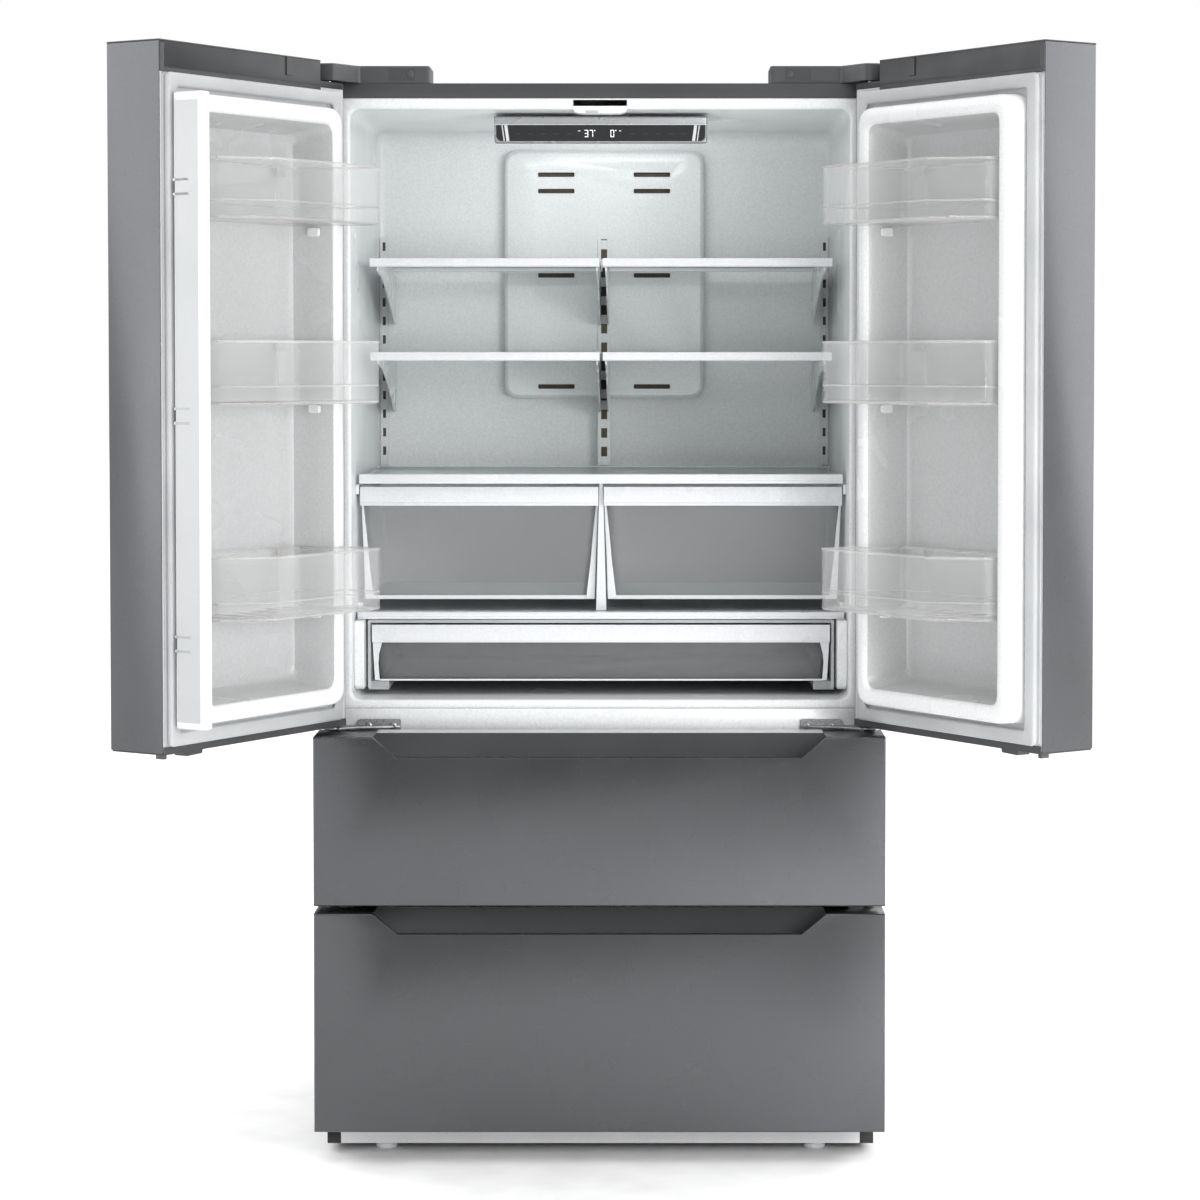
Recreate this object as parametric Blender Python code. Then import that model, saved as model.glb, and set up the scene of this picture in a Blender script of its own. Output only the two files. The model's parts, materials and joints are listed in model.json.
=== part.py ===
"""French door refrigerator with two freezer drawers, doors standing open.

All lengths are metres. Shapes are drawn in the closed cabinet's own coordinates: X to the right
seen from the front, Y into the cabinet from the drawer fronts' face, Z up from the floor. One
empty, refrigerator, carries that frame, and one more empty stands on each moving body's axis.
"""

import math

import bmesh
import bpy
from mathutils import Matrix, Vector

# Overall sizes
HALF_WIDTH = 0.455
HEIGHT = 1.760
DEPTH = 0.740
ORIGIN_BEHIND_FRONT = 0.210  # half way from the open mullion's tip to the back

# Door and drawer panels
PANEL = 0.104
SEAL_GAP = 0.014
SKIN = 0.0012
DOOR_OUTER = 0.4535
DOOR_INNER = 0.0023
DOOR_BOTTOM = 0.6945
DOOR_CAP_FOOT = 1.717
UPPER_DRAWER = (0.4143, 0.6843)
LOWER_DRAWER = (0.0520, 0.4023)

# Cabinet
CABINET_FRONT = PANEL + SEAL_GAP
CABINET_HALF = 0.447
CORNER = 0.006  # chamfer on the front corners, which the open doors swing past
CABINET_TOP = 1.7296
CABINET_FOOT = 0.048
SHEET = 0.0015
FLANGE_HALF = 0.429
WALL = 0.0025
FIT = 0.0003

# Fresh food compartment
FRIDGE_HALF = 0.404
FRIDGE_FLOOR = 0.731
FRIDGE_CEILING = 1.688
FRIDGE_BACK = 0.626
LINER_LIP = 0.0028
LINER_RADIUS = 0.018

# Freezer compartment and machine room
FREEZER_FLOOR = 0.098
FREEZER_CEILING = 0.662
FREEZER_BACK = 0.600
HUMP_FRONT = 0.455
HUMP_TOP = 0.338
MACHINE_ROOM_FRONT = 0.500
MACHINE_ROOM_TOP = 0.302
CHAMBER_BACK = 0.705
BASE_TOP = 0.0475

# Doors' hinges and the mullion that folds on the left door
PIN_X = 0.4350
PIN_Y = 0.0880
PIN_RADIUS = 0.005
LEFT_OPEN = math.radians(121.5)
RIGHT_OPEN = math.radians(124.5)
FLIPPER_X = -0.0203
FLIPPER_Y = PANEL + 0.0248
FLIPPER_HALF = 0.010
FLIPPER_WIDTH = 0.059
FLIPPER_FOOT = 0.7345
FLIPPER_TOP = 1.6795
FLIPPER_LUGS = (0.86, 1.20, 1.54)
LUG_HEIGHT = 0.014

# Shelves, given as front edge and top face
TOP_SHELF = (0.215, 1.451)
MIDDLE_SHELF = (0.2265, 1.296)
SHELF_BACK = 0.592
SHELF_INNER = 0.0027
SHELF_OUTER = 0.3815

PALETTE = {
    "dark_steel": ((0.125, 0.128, 0.135), 0.34, 0.85),
    "cabinet_paint": ((0.065, 0.067, 0.070), 0.45, 0.30),
    "dark_plastic": ((0.070, 0.072, 0.076), 0.50, 0.0),
    "black_plastic": ((0.020, 0.020, 0.022), 0.45, 0.0),
    "gloss_black": ((0.035, 0.036, 0.040), 0.12, 0.0),
    "white_liner": ((0.80, 0.82, 0.83), 0.28, 0.0),
    "door_liner": ((0.82, 0.83, 0.82), 0.30, 0.0),
    "gasket": ((0.38, 0.39, 0.40), 0.60, 0.0),
    "clear_bin": ((0.86, 0.90, 0.89), 0.08, 0.0),
    "crisper": ((0.84, 0.86, 0.86), 0.15, 0.0),
    "shelf": ((0.86, 0.88, 0.88), 0.20, 0.0),
    "basket": ((0.78, 0.80, 0.81), 0.35, 0.0),
    "satin_steel": ((0.55, 0.55, 0.56), 0.30, 1.0),
    "zinc": ((0.62, 0.63, 0.64), 0.35, 1.0),
    "copper": ((0.72, 0.42, 0.28), 0.30, 1.0),
    "foam": ((0.78, 0.68, 0.48), 0.90, 0.0),
    "rubber": ((0.030, 0.030, 0.032), 0.80, 0.0),
    "silver_trim": ((0.60, 0.61, 0.62), 0.28, 0.9),
}

FLAT_AXES = {"X": (1, 2), "Y": (0, 2), "Z": (0, 1)}
BODIES = {}


# ---------------------------------------------------------------- scene helpers


def clear_scene():
    for obj in list(bpy.data.objects):
        bpy.data.objects.remove(obj)


def material(name):
    found = bpy.data.materials.get(name)
    if found:
        return found
    colour, roughness, metallic = PALETTE[name]
    made = bpy.data.materials.new(name)
    made.use_nodes = True
    shader = made.node_tree.nodes["Principled BSDF"]
    shader.inputs["Base Color"].default_value = (*colour, 1.0)
    shader.inputs["Roughness"].default_value = roughness
    shader.inputs["Metallic"].default_value = metallic
    return made


def add_body(name, parent, pivot, turn=0.0):
    """An empty on the body's joint axis; pivot is in the closed cabinet's coordinates."""
    empty = bpy.data.objects.new(name, None)
    bpy.context.scene.collection.objects.link(empty)
    if parent:
        empty.parent = BODIES[parent][0]
        empty.location = Vector(pivot) - BODIES[parent][1]
    else:
        empty.location = pivot
    empty.rotation_euler = (0.0, 0.0, turn)
    BODIES[name] = (empty, Vector(pivot) if parent else Vector())


def place(name, bm, look, body):
    """Turns a bmesh, drawn in the cabinet's coordinates, into an object on its body's empty."""
    bmesh.ops.recalc_face_normals(bm, faces=bm.faces)
    if bm.calc_volume(signed=True) < 0:
        bmesh.ops.reverse_faces(bm, faces=bm.faces)
    empty, pivot = BODIES[body]
    bmesh.ops.translate(bm, verts=bm.verts, vec=-pivot)
    mesh = bpy.data.meshes.new(name)
    bm.to_mesh(mesh)
    bm.free()
    mesh.materials.append(material(look))
    obj = bpy.data.objects.new(name, mesh)
    bpy.context.scene.collection.objects.link(obj)
    obj.parent = empty
    return obj


def smooth(obj, angle=35.0):
    obj.data.shade_smooth()
    obj.data.set_sharp_from_angle(angle=math.radians(angle))
    return obj


def combine(obj, operation, helper):
    helper.hide_render = True
    helper.display_type = "WIRE"
    modifier = obj.modifiers.new(helper.name, "BOOLEAN")
    modifier.operation = operation
    modifier.object = helper
    return obj


def cut(obj, helper):
    return combine(obj, "DIFFERENCE", helper)


def fuse(obj, helper):
    return combine(obj, "UNION", helper)


# ---------------------------------------------------------------- shape helpers


def point(axis, level, a, b):
    first, second = FLAT_AXES[axis]
    co = [level, level, level]
    co[first] = a
    co[second] = b
    return tuple(co)


def rounded(axis, level, low, high, radius=0.0, steps=1):
    """A ring of points round the rectangle low..high that lies across axis at level."""
    corners = ((high[0], high[1], 0), (low[0], high[1], 90), (low[0], low[1], 180), (high[0], low[1], 270))
    middle = ((low[0] + high[0]) / 2, (low[1] + high[1]) / 2)
    ring = []
    for a, b, start in corners:
        if steps == 1:
            ring.append(point(axis, level, a, b))
            continue
        centre_a = a - math.copysign(radius, a - middle[0])
        centre_b = b - math.copysign(radius, b - middle[1])
        for step in range(steps):
            angle = math.radians(start + 90 * step / (steps - 1))
            around = (centre_a + radius * math.cos(angle), centre_b + radius * math.sin(angle))
            ring.append(point(axis, level, *around))
    return ring


def circle(axis, level, centre, radius, sides):
    turns = [2 * math.pi * (step + 0.5) / sides for step in range(sides)]
    return [
        point(axis, level, centre[0] + radius * math.cos(t), centre[1] + radius * math.sin(t)) for t in turns
    ]


def mirrored(ring, side):
    return [(side * x, y, z) for x, y, z in ring]


def lofted(name, rings, look, body):
    """Skins one ring to the next and caps both ends."""
    bm = bmesh.new()
    loops = [[bm.verts.new(co) for co in ring] for ring in rings]
    for lower, upper in zip(loops, loops[1:]):
        for i in range(len(lower)):
            j = (i + 1) % len(lower)
            bm.faces.new((lower[i], lower[j], upper[j], upper[i]))
    bm.faces.new(loops[0])
    bm.faces.new(loops[-1])
    return place(name, bm, look, body)


def prism(name, axis, outline, start, end, look, body):
    rings = [[point(axis, level, a, b) for a, b in outline] for level in (start, end)]
    return lofted(name, rings, look, body)


def boxes(name, corners, look, body):
    """One mesh of separate boxes, each given as x, x, y, y, z, z."""
    bm = bmesh.new()
    for x0, x1, y0, y1, z0, z1 in corners:
        size = Matrix.Diagonal((x1 - x0, y1 - y0, z1 - z0, 1.0))
        centre = Matrix.Translation(((x0 + x1) / 2, (y0 + y1) / 2, (z0 + z1) / 2))
        bmesh.ops.create_cube(bm, size=1.0, matrix=centre @ size)
    return place(name, bm, look, body)


def side_box(side, inner, outer, y0, y1, z0, z1):
    """A box between two distances from the middle plane, on the side given."""
    low, high = sorted((side * inner, side * outer))
    return (low, high, y0, y1, z0, z1)


def both_sides(inner, outer, y0, y1, z0, z1):
    return [side_box(side, inner, outer, y0, y1, z0, z1) for side in (-1, 1)]


def shell_prism(name, outline, foot, top, wall, open_top, look, body):
    """A hollow prism with one open end and walls and floor of one thickness."""
    bm = bmesh.new()
    bottom = [bm.verts.new((x, y, foot)) for x, y in outline]
    upper = [bm.verts.new((x, y, top)) for x, y in outline]
    for i in range(len(outline)):
        j = (i + 1) % len(outline)
        bm.faces.new((bottom[i], bottom[j], upper[j], upper[i]))
    faces = [bm.faces.new(bottom), bm.faces.new(upper)]
    bmesh.ops.recalc_face_normals(bm, faces=bm.faces)
    mouth = faces[1] if open_top else faces[0]
    bmesh.ops.inset_region(bm, faces=[mouth], thickness=wall, use_even_offset=True)
    sink = bmesh.ops.extrude_face_region(bm, geom=[mouth])
    floor = [item for item in sink["geom"] if isinstance(item, bmesh.types.BMVert)]
    drop = (foot + wall - top) if open_top else (top - wall - foot)
    bmesh.ops.translate(bm, verts=floor, vec=(0.0, 0.0, drop))
    bmesh.ops.delete(bm, geom=[mouth], context="FACES_ONLY")
    return place(name, bm, look, body)


def tub(name, low, high, foot, top, draft, wall, look, body, radius=0.02):
    """An open-topped box with rounded corners whose sides lean out by draft."""

    def ring(level, grow):
        start = (low[0] - grow, low[1] - grow)
        stop = (high[0] + grow, high[1] + grow)
        return rounded("Z", level, start, stop, radius, 4)

    rings = [
        ring(foot, -draft),
        ring(top, 0.0),
        ring(top, -wall),
        ring(foot + wall, -draft - wall),
    ]
    return smooth(lofted(name, rings, look, body))


def tube(name, route, radius, look, body, sides=1):
    """A bent pipe along the route, with filled ends."""
    empty, pivot = BODIES[body]
    curve = bpy.data.curves.new(name, "CURVE")
    curve.dimensions = "3D"
    curve.bevel_depth = radius
    curve.bevel_resolution = sides
    curve.use_fill_caps = True
    spline = curve.splines.new("POLY")
    spline.points.add(len(route) - 1)
    for target, co in zip(spline.points, route):
        target.co = (*(Vector(co) - pivot), 1.0)
    curve.materials.append(material(look))
    obj = bpy.data.objects.new(name, curve)
    bpy.context.scene.collection.objects.link(obj)
    obj.parent = empty
    return obj


def serpentine(start_x, end_x, layers, levels, bend):
    """A route that runs to and fro along X, one level after another, layer behind layer."""
    route = []
    forward = True
    for index, layer in enumerate(layers):
        ordered = levels if index % 2 == 0 else levels[::-1]
        for level in ordered:
            ends = (start_x, end_x) if forward else (end_x, start_x)
            inward = bend if ends[1] > ends[0] else -bend
            route.append((ends[0] + inward, layer, level))
            route.append((ends[1] - inward, layer, level))
            forward = not forward
    return route


def fan(name, centre, axis, hub, tip, length, blades, look, body):
    """A hub with pitched blades drawn out of every other side of it."""
    bm = bmesh.new()
    sides = blades * 2
    rings = [circle("Z", level, (0.0, 0.0), hub, sides) for level in (-length / 2, length / 2)]
    loops = [[bm.verts.new(co) for co in ring] for ring in rings]
    walls = []
    for i in range(sides):
        j = (i + 1) % sides
        walls.append(bm.faces.new((loops[0][i], loops[0][j], loops[1][j], loops[1][i])))
    bm.faces.new(loops[0])
    bm.faces.new(loops[1])
    for wall in walls[::2]:
        outward = wall.calc_center_median()
        outward.z = 0.0
        outward.normalize()
        moved = bmesh.ops.extrude_face_region(bm, geom=[wall])
        corners = [item for item in moved["geom"] if isinstance(item, bmesh.types.BMVert)]
        bmesh.ops.translate(bm, verts=corners, vec=outward * (tip - hub))
        middle = sum((corner.co for corner in corners), Vector()) / len(corners)
        pitch = Matrix.Rotation(math.radians(38), 4, outward)
        thin = Matrix.Diagonal((1.0, 1.0, 0.25, 1.0))
        bmesh.ops.transform(bm, verts=corners, matrix=pitch @ thin, space=Matrix.Translation(-middle))
        bmesh.ops.delete(bm, geom=[wall], context="FACES_ONLY")
    turn = {"X": Matrix.Rotation(math.pi / 2, 4, "Y"), "Y": Matrix.Rotation(math.pi / 2, 4, "X")}[axis]
    bmesh.ops.transform(bm, verts=bm.verts, matrix=Matrix.Translation(centre) @ turn)
    return place(name, bm, look, body)


# ---------------------------------------------------------------- cabinet


def case_outline(inset, back):
    """The cabinet seen from above, with its front corners chamfered, drawn in by inset."""
    half, front = CABINET_HALF - inset, CABINET_FRONT + inset
    corner = CORNER - inset * (2 - math.sqrt(2))
    right = [(half - corner, front), (half, front + corner), (half, back)]
    return right + [(-x, y) for x, y in right[::-1]]


def cabinet_shell():
    """The folded steel wrapper: a top and two sides, with a flange round the front."""
    outline = case_outline(0.0, DEPTH - 0.002)
    shell = prism("cabinet_shell", "Z", outline, CABINET_FOOT, CABINET_TOP, "cabinet_paint", "cabinet")
    hollow = case_outline(SHEET, 0.80)
    cut(shell, prism("shell_hollow", "Z", hollow, 0.0, CABINET_TOP - SHEET, "foam", "cabinet"))
    mouth = [(-FLANGE_HALF, FLANGE_HALF, 0.10, CABINET_FRONT + 0.01, 0.0, 1.7056)]
    cut(shell, boxes("shell_mouth", mouth, "foam", "cabinet"))


def freezer_profile(grow):
    """The freezer's side outline, with the step over the machine room, grown by a wall."""
    slope_top = 0.492 + grow * 0.4
    return [
        (CABINET_FRONT + 0.0028, FREEZER_FLOOR - grow),
        (HUMP_FRONT + grow, FREEZER_FLOOR - grow),
        (HUMP_FRONT + grow, 0.300 - grow * 0.4),
        (slope_top, HUMP_TOP - grow),
        (FREEZER_BACK + grow, HUMP_TOP - grow),
        (FREEZER_BACK + grow, FREEZER_CEILING + grow),
        (CABINET_FRONT + 0.0028, FREEZER_CEILING + grow),
    ]


def reach_forward(profile):
    """The same outline with its front edge brought out past the cabinet's face."""
    return [(0.090 if y < CABINET_FRONT + 0.01 else y, z) for y, z in profile]


def insulation_foam():
    """What fills the space between the steel and the liners, cut round all that stands in it."""
    outline = case_outline(LINER_LIP + 0.0010, 0.7345)
    foot, top = BASE_TOP + 0.0027, CABINET_TOP - SHEET - FIT
    foam = prism("insulation_foam", "Z", outline, foot, top, "foam", "cabinet")
    side = FRIDGE_HALF + WALL + FIT
    fridge = (-side, side, 0.05, FRIDGE_BACK + WALL + FIT, FRIDGE_FLOOR - WALL - FIT, 1.6913)
    rail = (-0.4288, 0.4288, 0.05, 0.1523, 0.6772, 0.7176)
    engine = (-0.60, 0.60, MACHINE_ROOM_FRONT, 0.80, 0.0, MACHINE_ROOM_TOP)
    chamber = (-0.340, 0.340, 0.580, CHAMBER_BACK, 0.348, 0.656)
    for name, hollow in (("fridge", fridge), ("rail", rail), ("engine", engine), ("chamber", chamber)):
        cut(foam, boxes(f"foam_{name}_hollow", [hollow], "foam", "cabinet"))
    outline = reach_forward(freezer_profile(WALL + FIT))
    cut(foam, prism("foam_freezer_hollow", "X", outline, -side, side, "foam", "cabinet"))


def fridge_liner():
    """A five-sided moulding with a lip round its mouth, a little narrower at the back."""
    outer_low, outer_high = (-FRIDGE_HALF - WALL, FRIDGE_FLOOR - WALL), (FRIDGE_HALF + WALL, 1.6910)
    lip_low, lip_high = (-0.4285, 0.7180), (0.4285, 1.7052)
    lip_back = CABINET_FRONT + LINER_LIP
    rings = [
        rounded("Y", FRIDGE_BACK + WALL, outer_low, outer_high, LINER_RADIUS, 4),
        rounded("Y", lip_back, outer_low, outer_high, LINER_RADIUS, 4),
        rounded("Y", lip_back, lip_low, lip_high, 0.002, 4),
        rounded("Y", CABINET_FRONT, lip_low, lip_high, 0.002, 4),
        rounded("Y", CABINET_FRONT, (-0.4040, FRIDGE_FLOOR), (0.4040, FRIDGE_CEILING), LINER_RADIUS, 4),
        rounded("Y", FRIDGE_BACK, (-0.4000, FRIDGE_FLOOR), (0.4000, 1.6740), LINER_RADIUS, 4),
    ]
    liner = smooth(lofted("fridge_liner", rings, "white_liner", "cabinet"))
    notch = [(-0.0445, 0.0445, 0.10, lip_back + 0.0010, 1.6806, 1.7036)]
    cut(liner, boxes("guide_notch", notch, "foam", "cabinet"))


def freezer_liner():
    """A stepped moulding whose back wall has slots to the evaporator's chamber."""
    side = FRIDGE_HALF + WALL
    liner = prism("freezer_liner", "X", freezer_profile(WALL), -side, side, "white_liner", "cabinet")
    lip = [(-0.4285, 0.4285, CABINET_FRONT, CABINET_FRONT + 0.0031, 0.0620, 0.6769)]
    fuse(liner, boxes("freezer_lip", lip, "white_liner", "cabinet"))
    hollow = reach_forward(freezer_profile(0.0))
    cut(liner, prism("freezer_hollow", "X", hollow, -FRIDGE_HALF, FRIDGE_HALF, "foam", "cabinet"))
    slots = []
    for level in (0.600, 0.620, 0.380, 0.400):
        for middle in (-0.18, 0.0, 0.18):
            slots.append((middle - 0.06, middle + 0.06, 0.59, 0.61, level, level + 0.008))
    cut(liner, boxes("freezer_slots", slots, "foam", "cabinet"))


def centre_rail():
    rings = [
        rounded("X", end, (CABINET_FRONT, 0.6775), (0.1520, 0.7173), 0.002, 3) for end in (-0.4285, 0.4285)
    ]
    lofted("centre_rail", rings, "white_liner", "cabinet")


def back_panel():
    """A rear sheet with three stiffening swages pressed inwards."""
    panel = boxes("back_panel", [(-0.4450, 0.4450, 0.7355, 0.7370, 0.3100, 1.7275)], "zinc", "cabinet")
    swages = [(x - 0.012, x + 0.012, 0.7363, 0.7400, 0.40, 1.64) for x in (-0.26, 0.0, 0.26)]
    cut(panel, boxes("swage_cutters", swages, "foam", "cabinet"))


def machine_room_cover():
    """The louvred rear cover, with the moulded gland that the supply lead leaves by."""
    sheet = (-0.4450, 0.4450, 0.7355, 0.7375, 0.0500, 0.3080)
    cover = boxes("machine_room_cover", [sheet], "black_plastic", "cabinet")
    slots = []
    for row in range(8):
        level = 0.100 + row * 0.020
        for middle in (-0.27, -0.10, 0.10):
            slots.append((middle - 0.065, middle + 0.065, 0.72, 0.75, level, level + 0.008))
    cut(cover, boxes("louvre_slots", slots, "foam", "cabinet"))
    rings = [circle("Y", level, (0.320, 0.100), 0.013, 16) for level in (0.7365, 0.7400)]
    fuse(cover, lofted("gland_boss", rings, "black_plastic", "cabinet"))
    rings = [circle("Y", level, (0.320, 0.100), 0.0045, 12) for level in (0.72, 0.76)]
    cut(cover, lofted("gland_bore", rings, "foam", "cabinet"))


def base_tray():
    """The steel base: a plate with skirts down both sides, corner blocks and roller tabs."""
    top, under, foot = BASE_TOP, BASE_TOP - 0.003, 0.0125
    half = [(0.4450, top), (0.4450, under), (0.4430, under), (0.4430, foot), (0.4400, foot), (0.4400, under)]
    outline = half + [(-x, z) for x, z in half[::-1]]
    tray = prism("base_tray", "Y", outline, 0.1002, 0.7350, "black_plastic", "cabinet")
    extras = both_sides(0.4213, 0.4430, 0.0880, 0.1100, foot, top - 0.0005)
    extras += both_sides(0.3885, 0.3915, 0.6650, 0.7150, foot, top - 0.0005)
    fuse(tray, boxes("base_blocks", extras, "black_plastic", "cabinet"))
    rings = [circle("X", end, (0.690, 0.020), 0.0048, 16) for end in (-0.47, 0.47)]
    cut(tray, lofted("axle_bore", rings, "foam", "cabinet"))


def toe_kick():
    outline = [
        (0.0880, 0.0125),
        (0.0995, 0.0125),
        (0.0995, 0.0145),
        (0.0905, 0.0145),
        (0.0905, 0.0390),
        (0.0995, 0.0390),
        (0.0995, 0.0410),
        (0.0880, 0.0410),
    ]
    prism("toe_kick", "X", outline, -0.4210, 0.4210, "silver_trim", "cabinet")


def compressor():
    """A welded motor pot on a foot plate, widest at its seam."""
    centre = (0.190, 0.625)

    def ring(level, half_x, half_y):
        low = (centre[0] - half_x, centre[1] - half_y)
        high = (centre[0] + half_x, centre[1] + half_y)
        return rounded("Z", level, low, high, min(half_x, half_y) * 0.9, 6)

    stages = [
        (BASE_TOP + 0.0005, 0.095, 0.050),
        (BASE_TOP + 0.0125, 0.095, 0.050),
        (BASE_TOP + 0.0130, 0.060, 0.050),
        (0.085, 0.085, 0.070),
        (0.140, 0.090, 0.075),
        (0.1405, 0.094, 0.079),
        (0.146, 0.094, 0.079),
        (0.1465, 0.090, 0.075),
        (0.195, 0.080, 0.066),
        (0.225, 0.050, 0.042),
    ]
    smooth(lofted("compressor", [ring(*stage) for stage in stages], "black_plastic", "cabinet"))


def cooling_circuit():
    levels = [0.080 + 0.030 * step for step in range(6)]
    route = serpentine(-0.400, -0.120, (0.580, 0.620, 0.660), levels, 0.012)
    tube("condenser_coil", route, 0.004, "copper", "cabinet")
    levels = [0.370 + 0.030 * step for step in range(6)]
    route = serpentine(-0.320, 0.320, (0.632, 0.668), levels, 0.012)
    tube("evaporator_coil", route, 0.004, "copper", "cabinet")


# ---------------------------------------------------------------- compartment fittings


def air_duct_cover():
    """A shallow rounded cover, open behind, with slots that let the cold air out."""
    low, high, depth = (-0.1765, 1.2150), (0.1765, 1.6540), 0.0250
    front, back, wall = 0.6005, 0.6255, 0.003

    def ring(level, inset):
        return rounded(
            "Y",
            level,
            (low[0] + inset, low[1] + inset),
            (high[0] - inset, high[1] - inset),
            0.022 - inset * 0.5,
            4,
        )

    rings = [ring(front, 0.006), ring(front + 0.006, 0.0), ring(back, 0.0), ring(back, wall)]
    rings.append(ring(back - depth + wall + 0.004, wall + 0.004))
    cover = smooth(lofted("air_duct_cover", rings, "white_liner", "cabinet"))
    slots = []
    for level in (1.611, 1.582, 1.433, 1.236):
        slots += both_sides(0.0525, 0.1170, 0.590, 0.617, level - 0.004, level + 0.004)
    cut(cover, boxes("duct_slots", slots, "foam", "cabinet"))


def bracket_outline(front, top, back):
    """Side view of a shelf arm: deep at the wall, curving up to a fine tip in front."""
    tip = (front + 0.035, top - 0.020)
    outline = [(back, top - 0.0070), (tip[0], top - 0.0070), tip]
    reach, drop = back - 0.030 - tip[0], 0.085
    for step in range(1, 6):
        part = step / 5
        outline.append((tip[0] + reach * part, tip[1] - drop * part**1.6))
    outline.append((back, tip[1] - drop))
    return outline


def half_shelf(name, side, front, top):
    """A glass plate in front and rear trims, carried by two arms that reach to the tracks."""
    inner, outer = SHELF_INNER + 0.002, SHELF_OUTER - 0.002
    plate = side_box(side, inner, outer, front + 0.01, 0.585, top - 0.006, top - 0.001)
    shelf = boxes(name, [plate], "shelf", "cabinet")
    trims = [
        side_box(side, SHELF_INNER, SHELF_OUTER, front, front + 0.024, top - 0.014, top),
        side_box(side, SHELF_INNER, SHELF_OUTER, SHELF_BACK - 0.016, SHELF_BACK, top - 0.012, top),
    ]
    fuse(shelf, boxes(f"{name}_trims", trims, "shelf", "cabinet"))
    for label, distance, back in (("outer", 0.3700, 0.6170), ("inner", 0.0060, 0.5960)):
        outline = bracket_outline(front, top, back)
        start, end = sorted((side * distance, side * (distance + 0.003)))
        fuse(shelf, prism(f"{name}_{label}_arm", "X", outline, start, end, "shelf", "cabinet"))


def cover_shelf(name, half, front, top, thickness):
    """A full-width glass plate with front and rear trims that rests on the liner's ledges."""
    plate = (-half + 0.002, half - 0.002, front + 0.012, 0.580, top - 0.006, top - 0.001)
    shelf = boxes(name, [plate], "shelf", "cabinet")
    trims = [
        (-half, half, front, front + 0.026, top - thickness, top),
        (-half, half, 0.568, 0.585, top - thickness, top),
    ]
    fuse(shelf, boxes(f"{name}_trims", trims, "shelf", "cabinet"))


def shelves():
    for word, side in (("left", -1), ("right", 1)):
        half_shelf(f"top_shelf_{word}", side, *TOP_SHELF)
        half_shelf(f"middle_shelf_{word}", side, *MIDDLE_SHELF)
    cover_shelf("crisper_cover_shelf", 0.3975, 0.1900, 1.0950, 0.0150)
    cover_shelf("deli_cover_shelf", 0.4000, 0.1800, 0.8687, 0.0111)


def control_panel():
    """The ceiling console whose glossy face leans back a little towards its foot."""
    top, foot = 1.6812, 1.6370

    def ring(x, shrink):
        return [
            (x, 0.185 + shrink, top),
            (x, 0.189 + shrink, foot + shrink),
            (x, 0.300 - shrink, foot + 0.012 + shrink),
            (x, 0.318 - shrink, top),
        ]

    stations = [(-0.1745, 0.010), (-0.1680, 0.001), (0.1680, 0.001), (0.1745, 0.010)]
    lofted("control_panel", [ring(*station) for station in stations], "gloss_black", "cabinet")


def flipper_guide():
    """The block over the folding mullion, let into the liner's lip."""
    outline = [
        (CABINET_FRONT + FIT, 1.6810),
        (0.1500, 1.6810),
        (0.1500, 1.6868),
        (CABINET_FRONT + 0.0031, 1.6868),
        (CABINET_FRONT + 0.0031, 1.7032),
        (CABINET_FRONT + FIT, 1.7032),
    ]
    guide = prism("flipper_guide", "X", outline, -0.0440, 0.0440, "door_liner", "cabinet")
    groove = [(-0.0240, 0.0000, 0.10, 0.1400, 1.6790, 1.6840)]
    cut(guide, boxes("guide_groove", groove, "foam", "cabinet"))


# ---------------------------------------------------------------- door hinges


def arm_end(start, end):
    """Points round the pin, from one bearing to the other, in degrees."""
    radius = 0.0123
    bearings = [math.radians(start + (end - start) * step / 5) for step in range(6)]
    return [(PIN_X + radius * math.cos(b), PIN_Y + radius * math.sin(b)) for b in bearings]


def pin(name, side, foot, top):
    rings = [mirrored(circle("Z", level, (PIN_X, PIN_Y), PIN_RADIUS, 12), side) for level in (foot, top)]
    return lofted(name, rings, "satin_steel", "cabinet")


def flat_plate(name, side, outline, foot, top, look):
    rings = [[(side * x, y, level) for x, y in outline] for level in (foot, top)]
    return lofted(name, rings, look, "cabinet")


def upper_hinge(word, side):
    outline = [(0.2900, 0.1260), (0.3900, 0.1260), (0.4200, 0.0935)]
    outline += arm_end(180, 360)
    outline += [(0.4430, 0.1050), (0.4430, 0.1480), (0.3860, 0.1980), (0.2900, 0.1980)]
    hinge = flat_plate(f"upper_hinge_{word}", side, outline, 1.7302, 1.7332, "satin_steel")
    fuse(hinge, pin(f"upper_pin_{word}", side, 1.7187, 1.7317))


def lower_hinge(word, side):
    outline = [(0.3250, 0.1177), (0.3250, 0.1120), (0.3900, 0.0960), (0.4205, 0.0790)]
    outline += arm_end(215, 380)
    outline += [(0.4200, 0.1120), (0.3950, 0.1177)]
    hinge = flat_plate(f"lower_hinge_{word}", side, outline, 0.6870, 0.6900, "satin_steel")
    upright = [side_box(side, 0.3245, 0.3910, 0.1150, 0.1177, 0.6800, 0.6980)]
    fuse(hinge, boxes(f"lower_hinge_upright_{word}", upright, "satin_steel", "cabinet"))
    fuse(hinge, pin(f"lower_pin_{word}", side, 0.6885, 0.7130))


def hinge_cover(word, side):
    outline = [
        (0.2746, 0.1185),
        (0.3892, 0.1185),
        (0.4244, 0.0690),
        (0.4480, 0.0715),
        (0.4545, 0.0850),
        (0.4545, 0.1150),
        (0.4465, 0.1250),
        (0.4465, 0.1500),
        (0.3892, 0.2050),
        (0.2746, 0.2050),
    ]
    outline = [(side * x, y) for x, y in outline]
    shell_prism(f"hinge_cover_{word}", outline, 1.7300, 1.7580, 0.002, False, "dark_plastic", "cabinet")


# ---------------------------------------------------------------- doors


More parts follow.
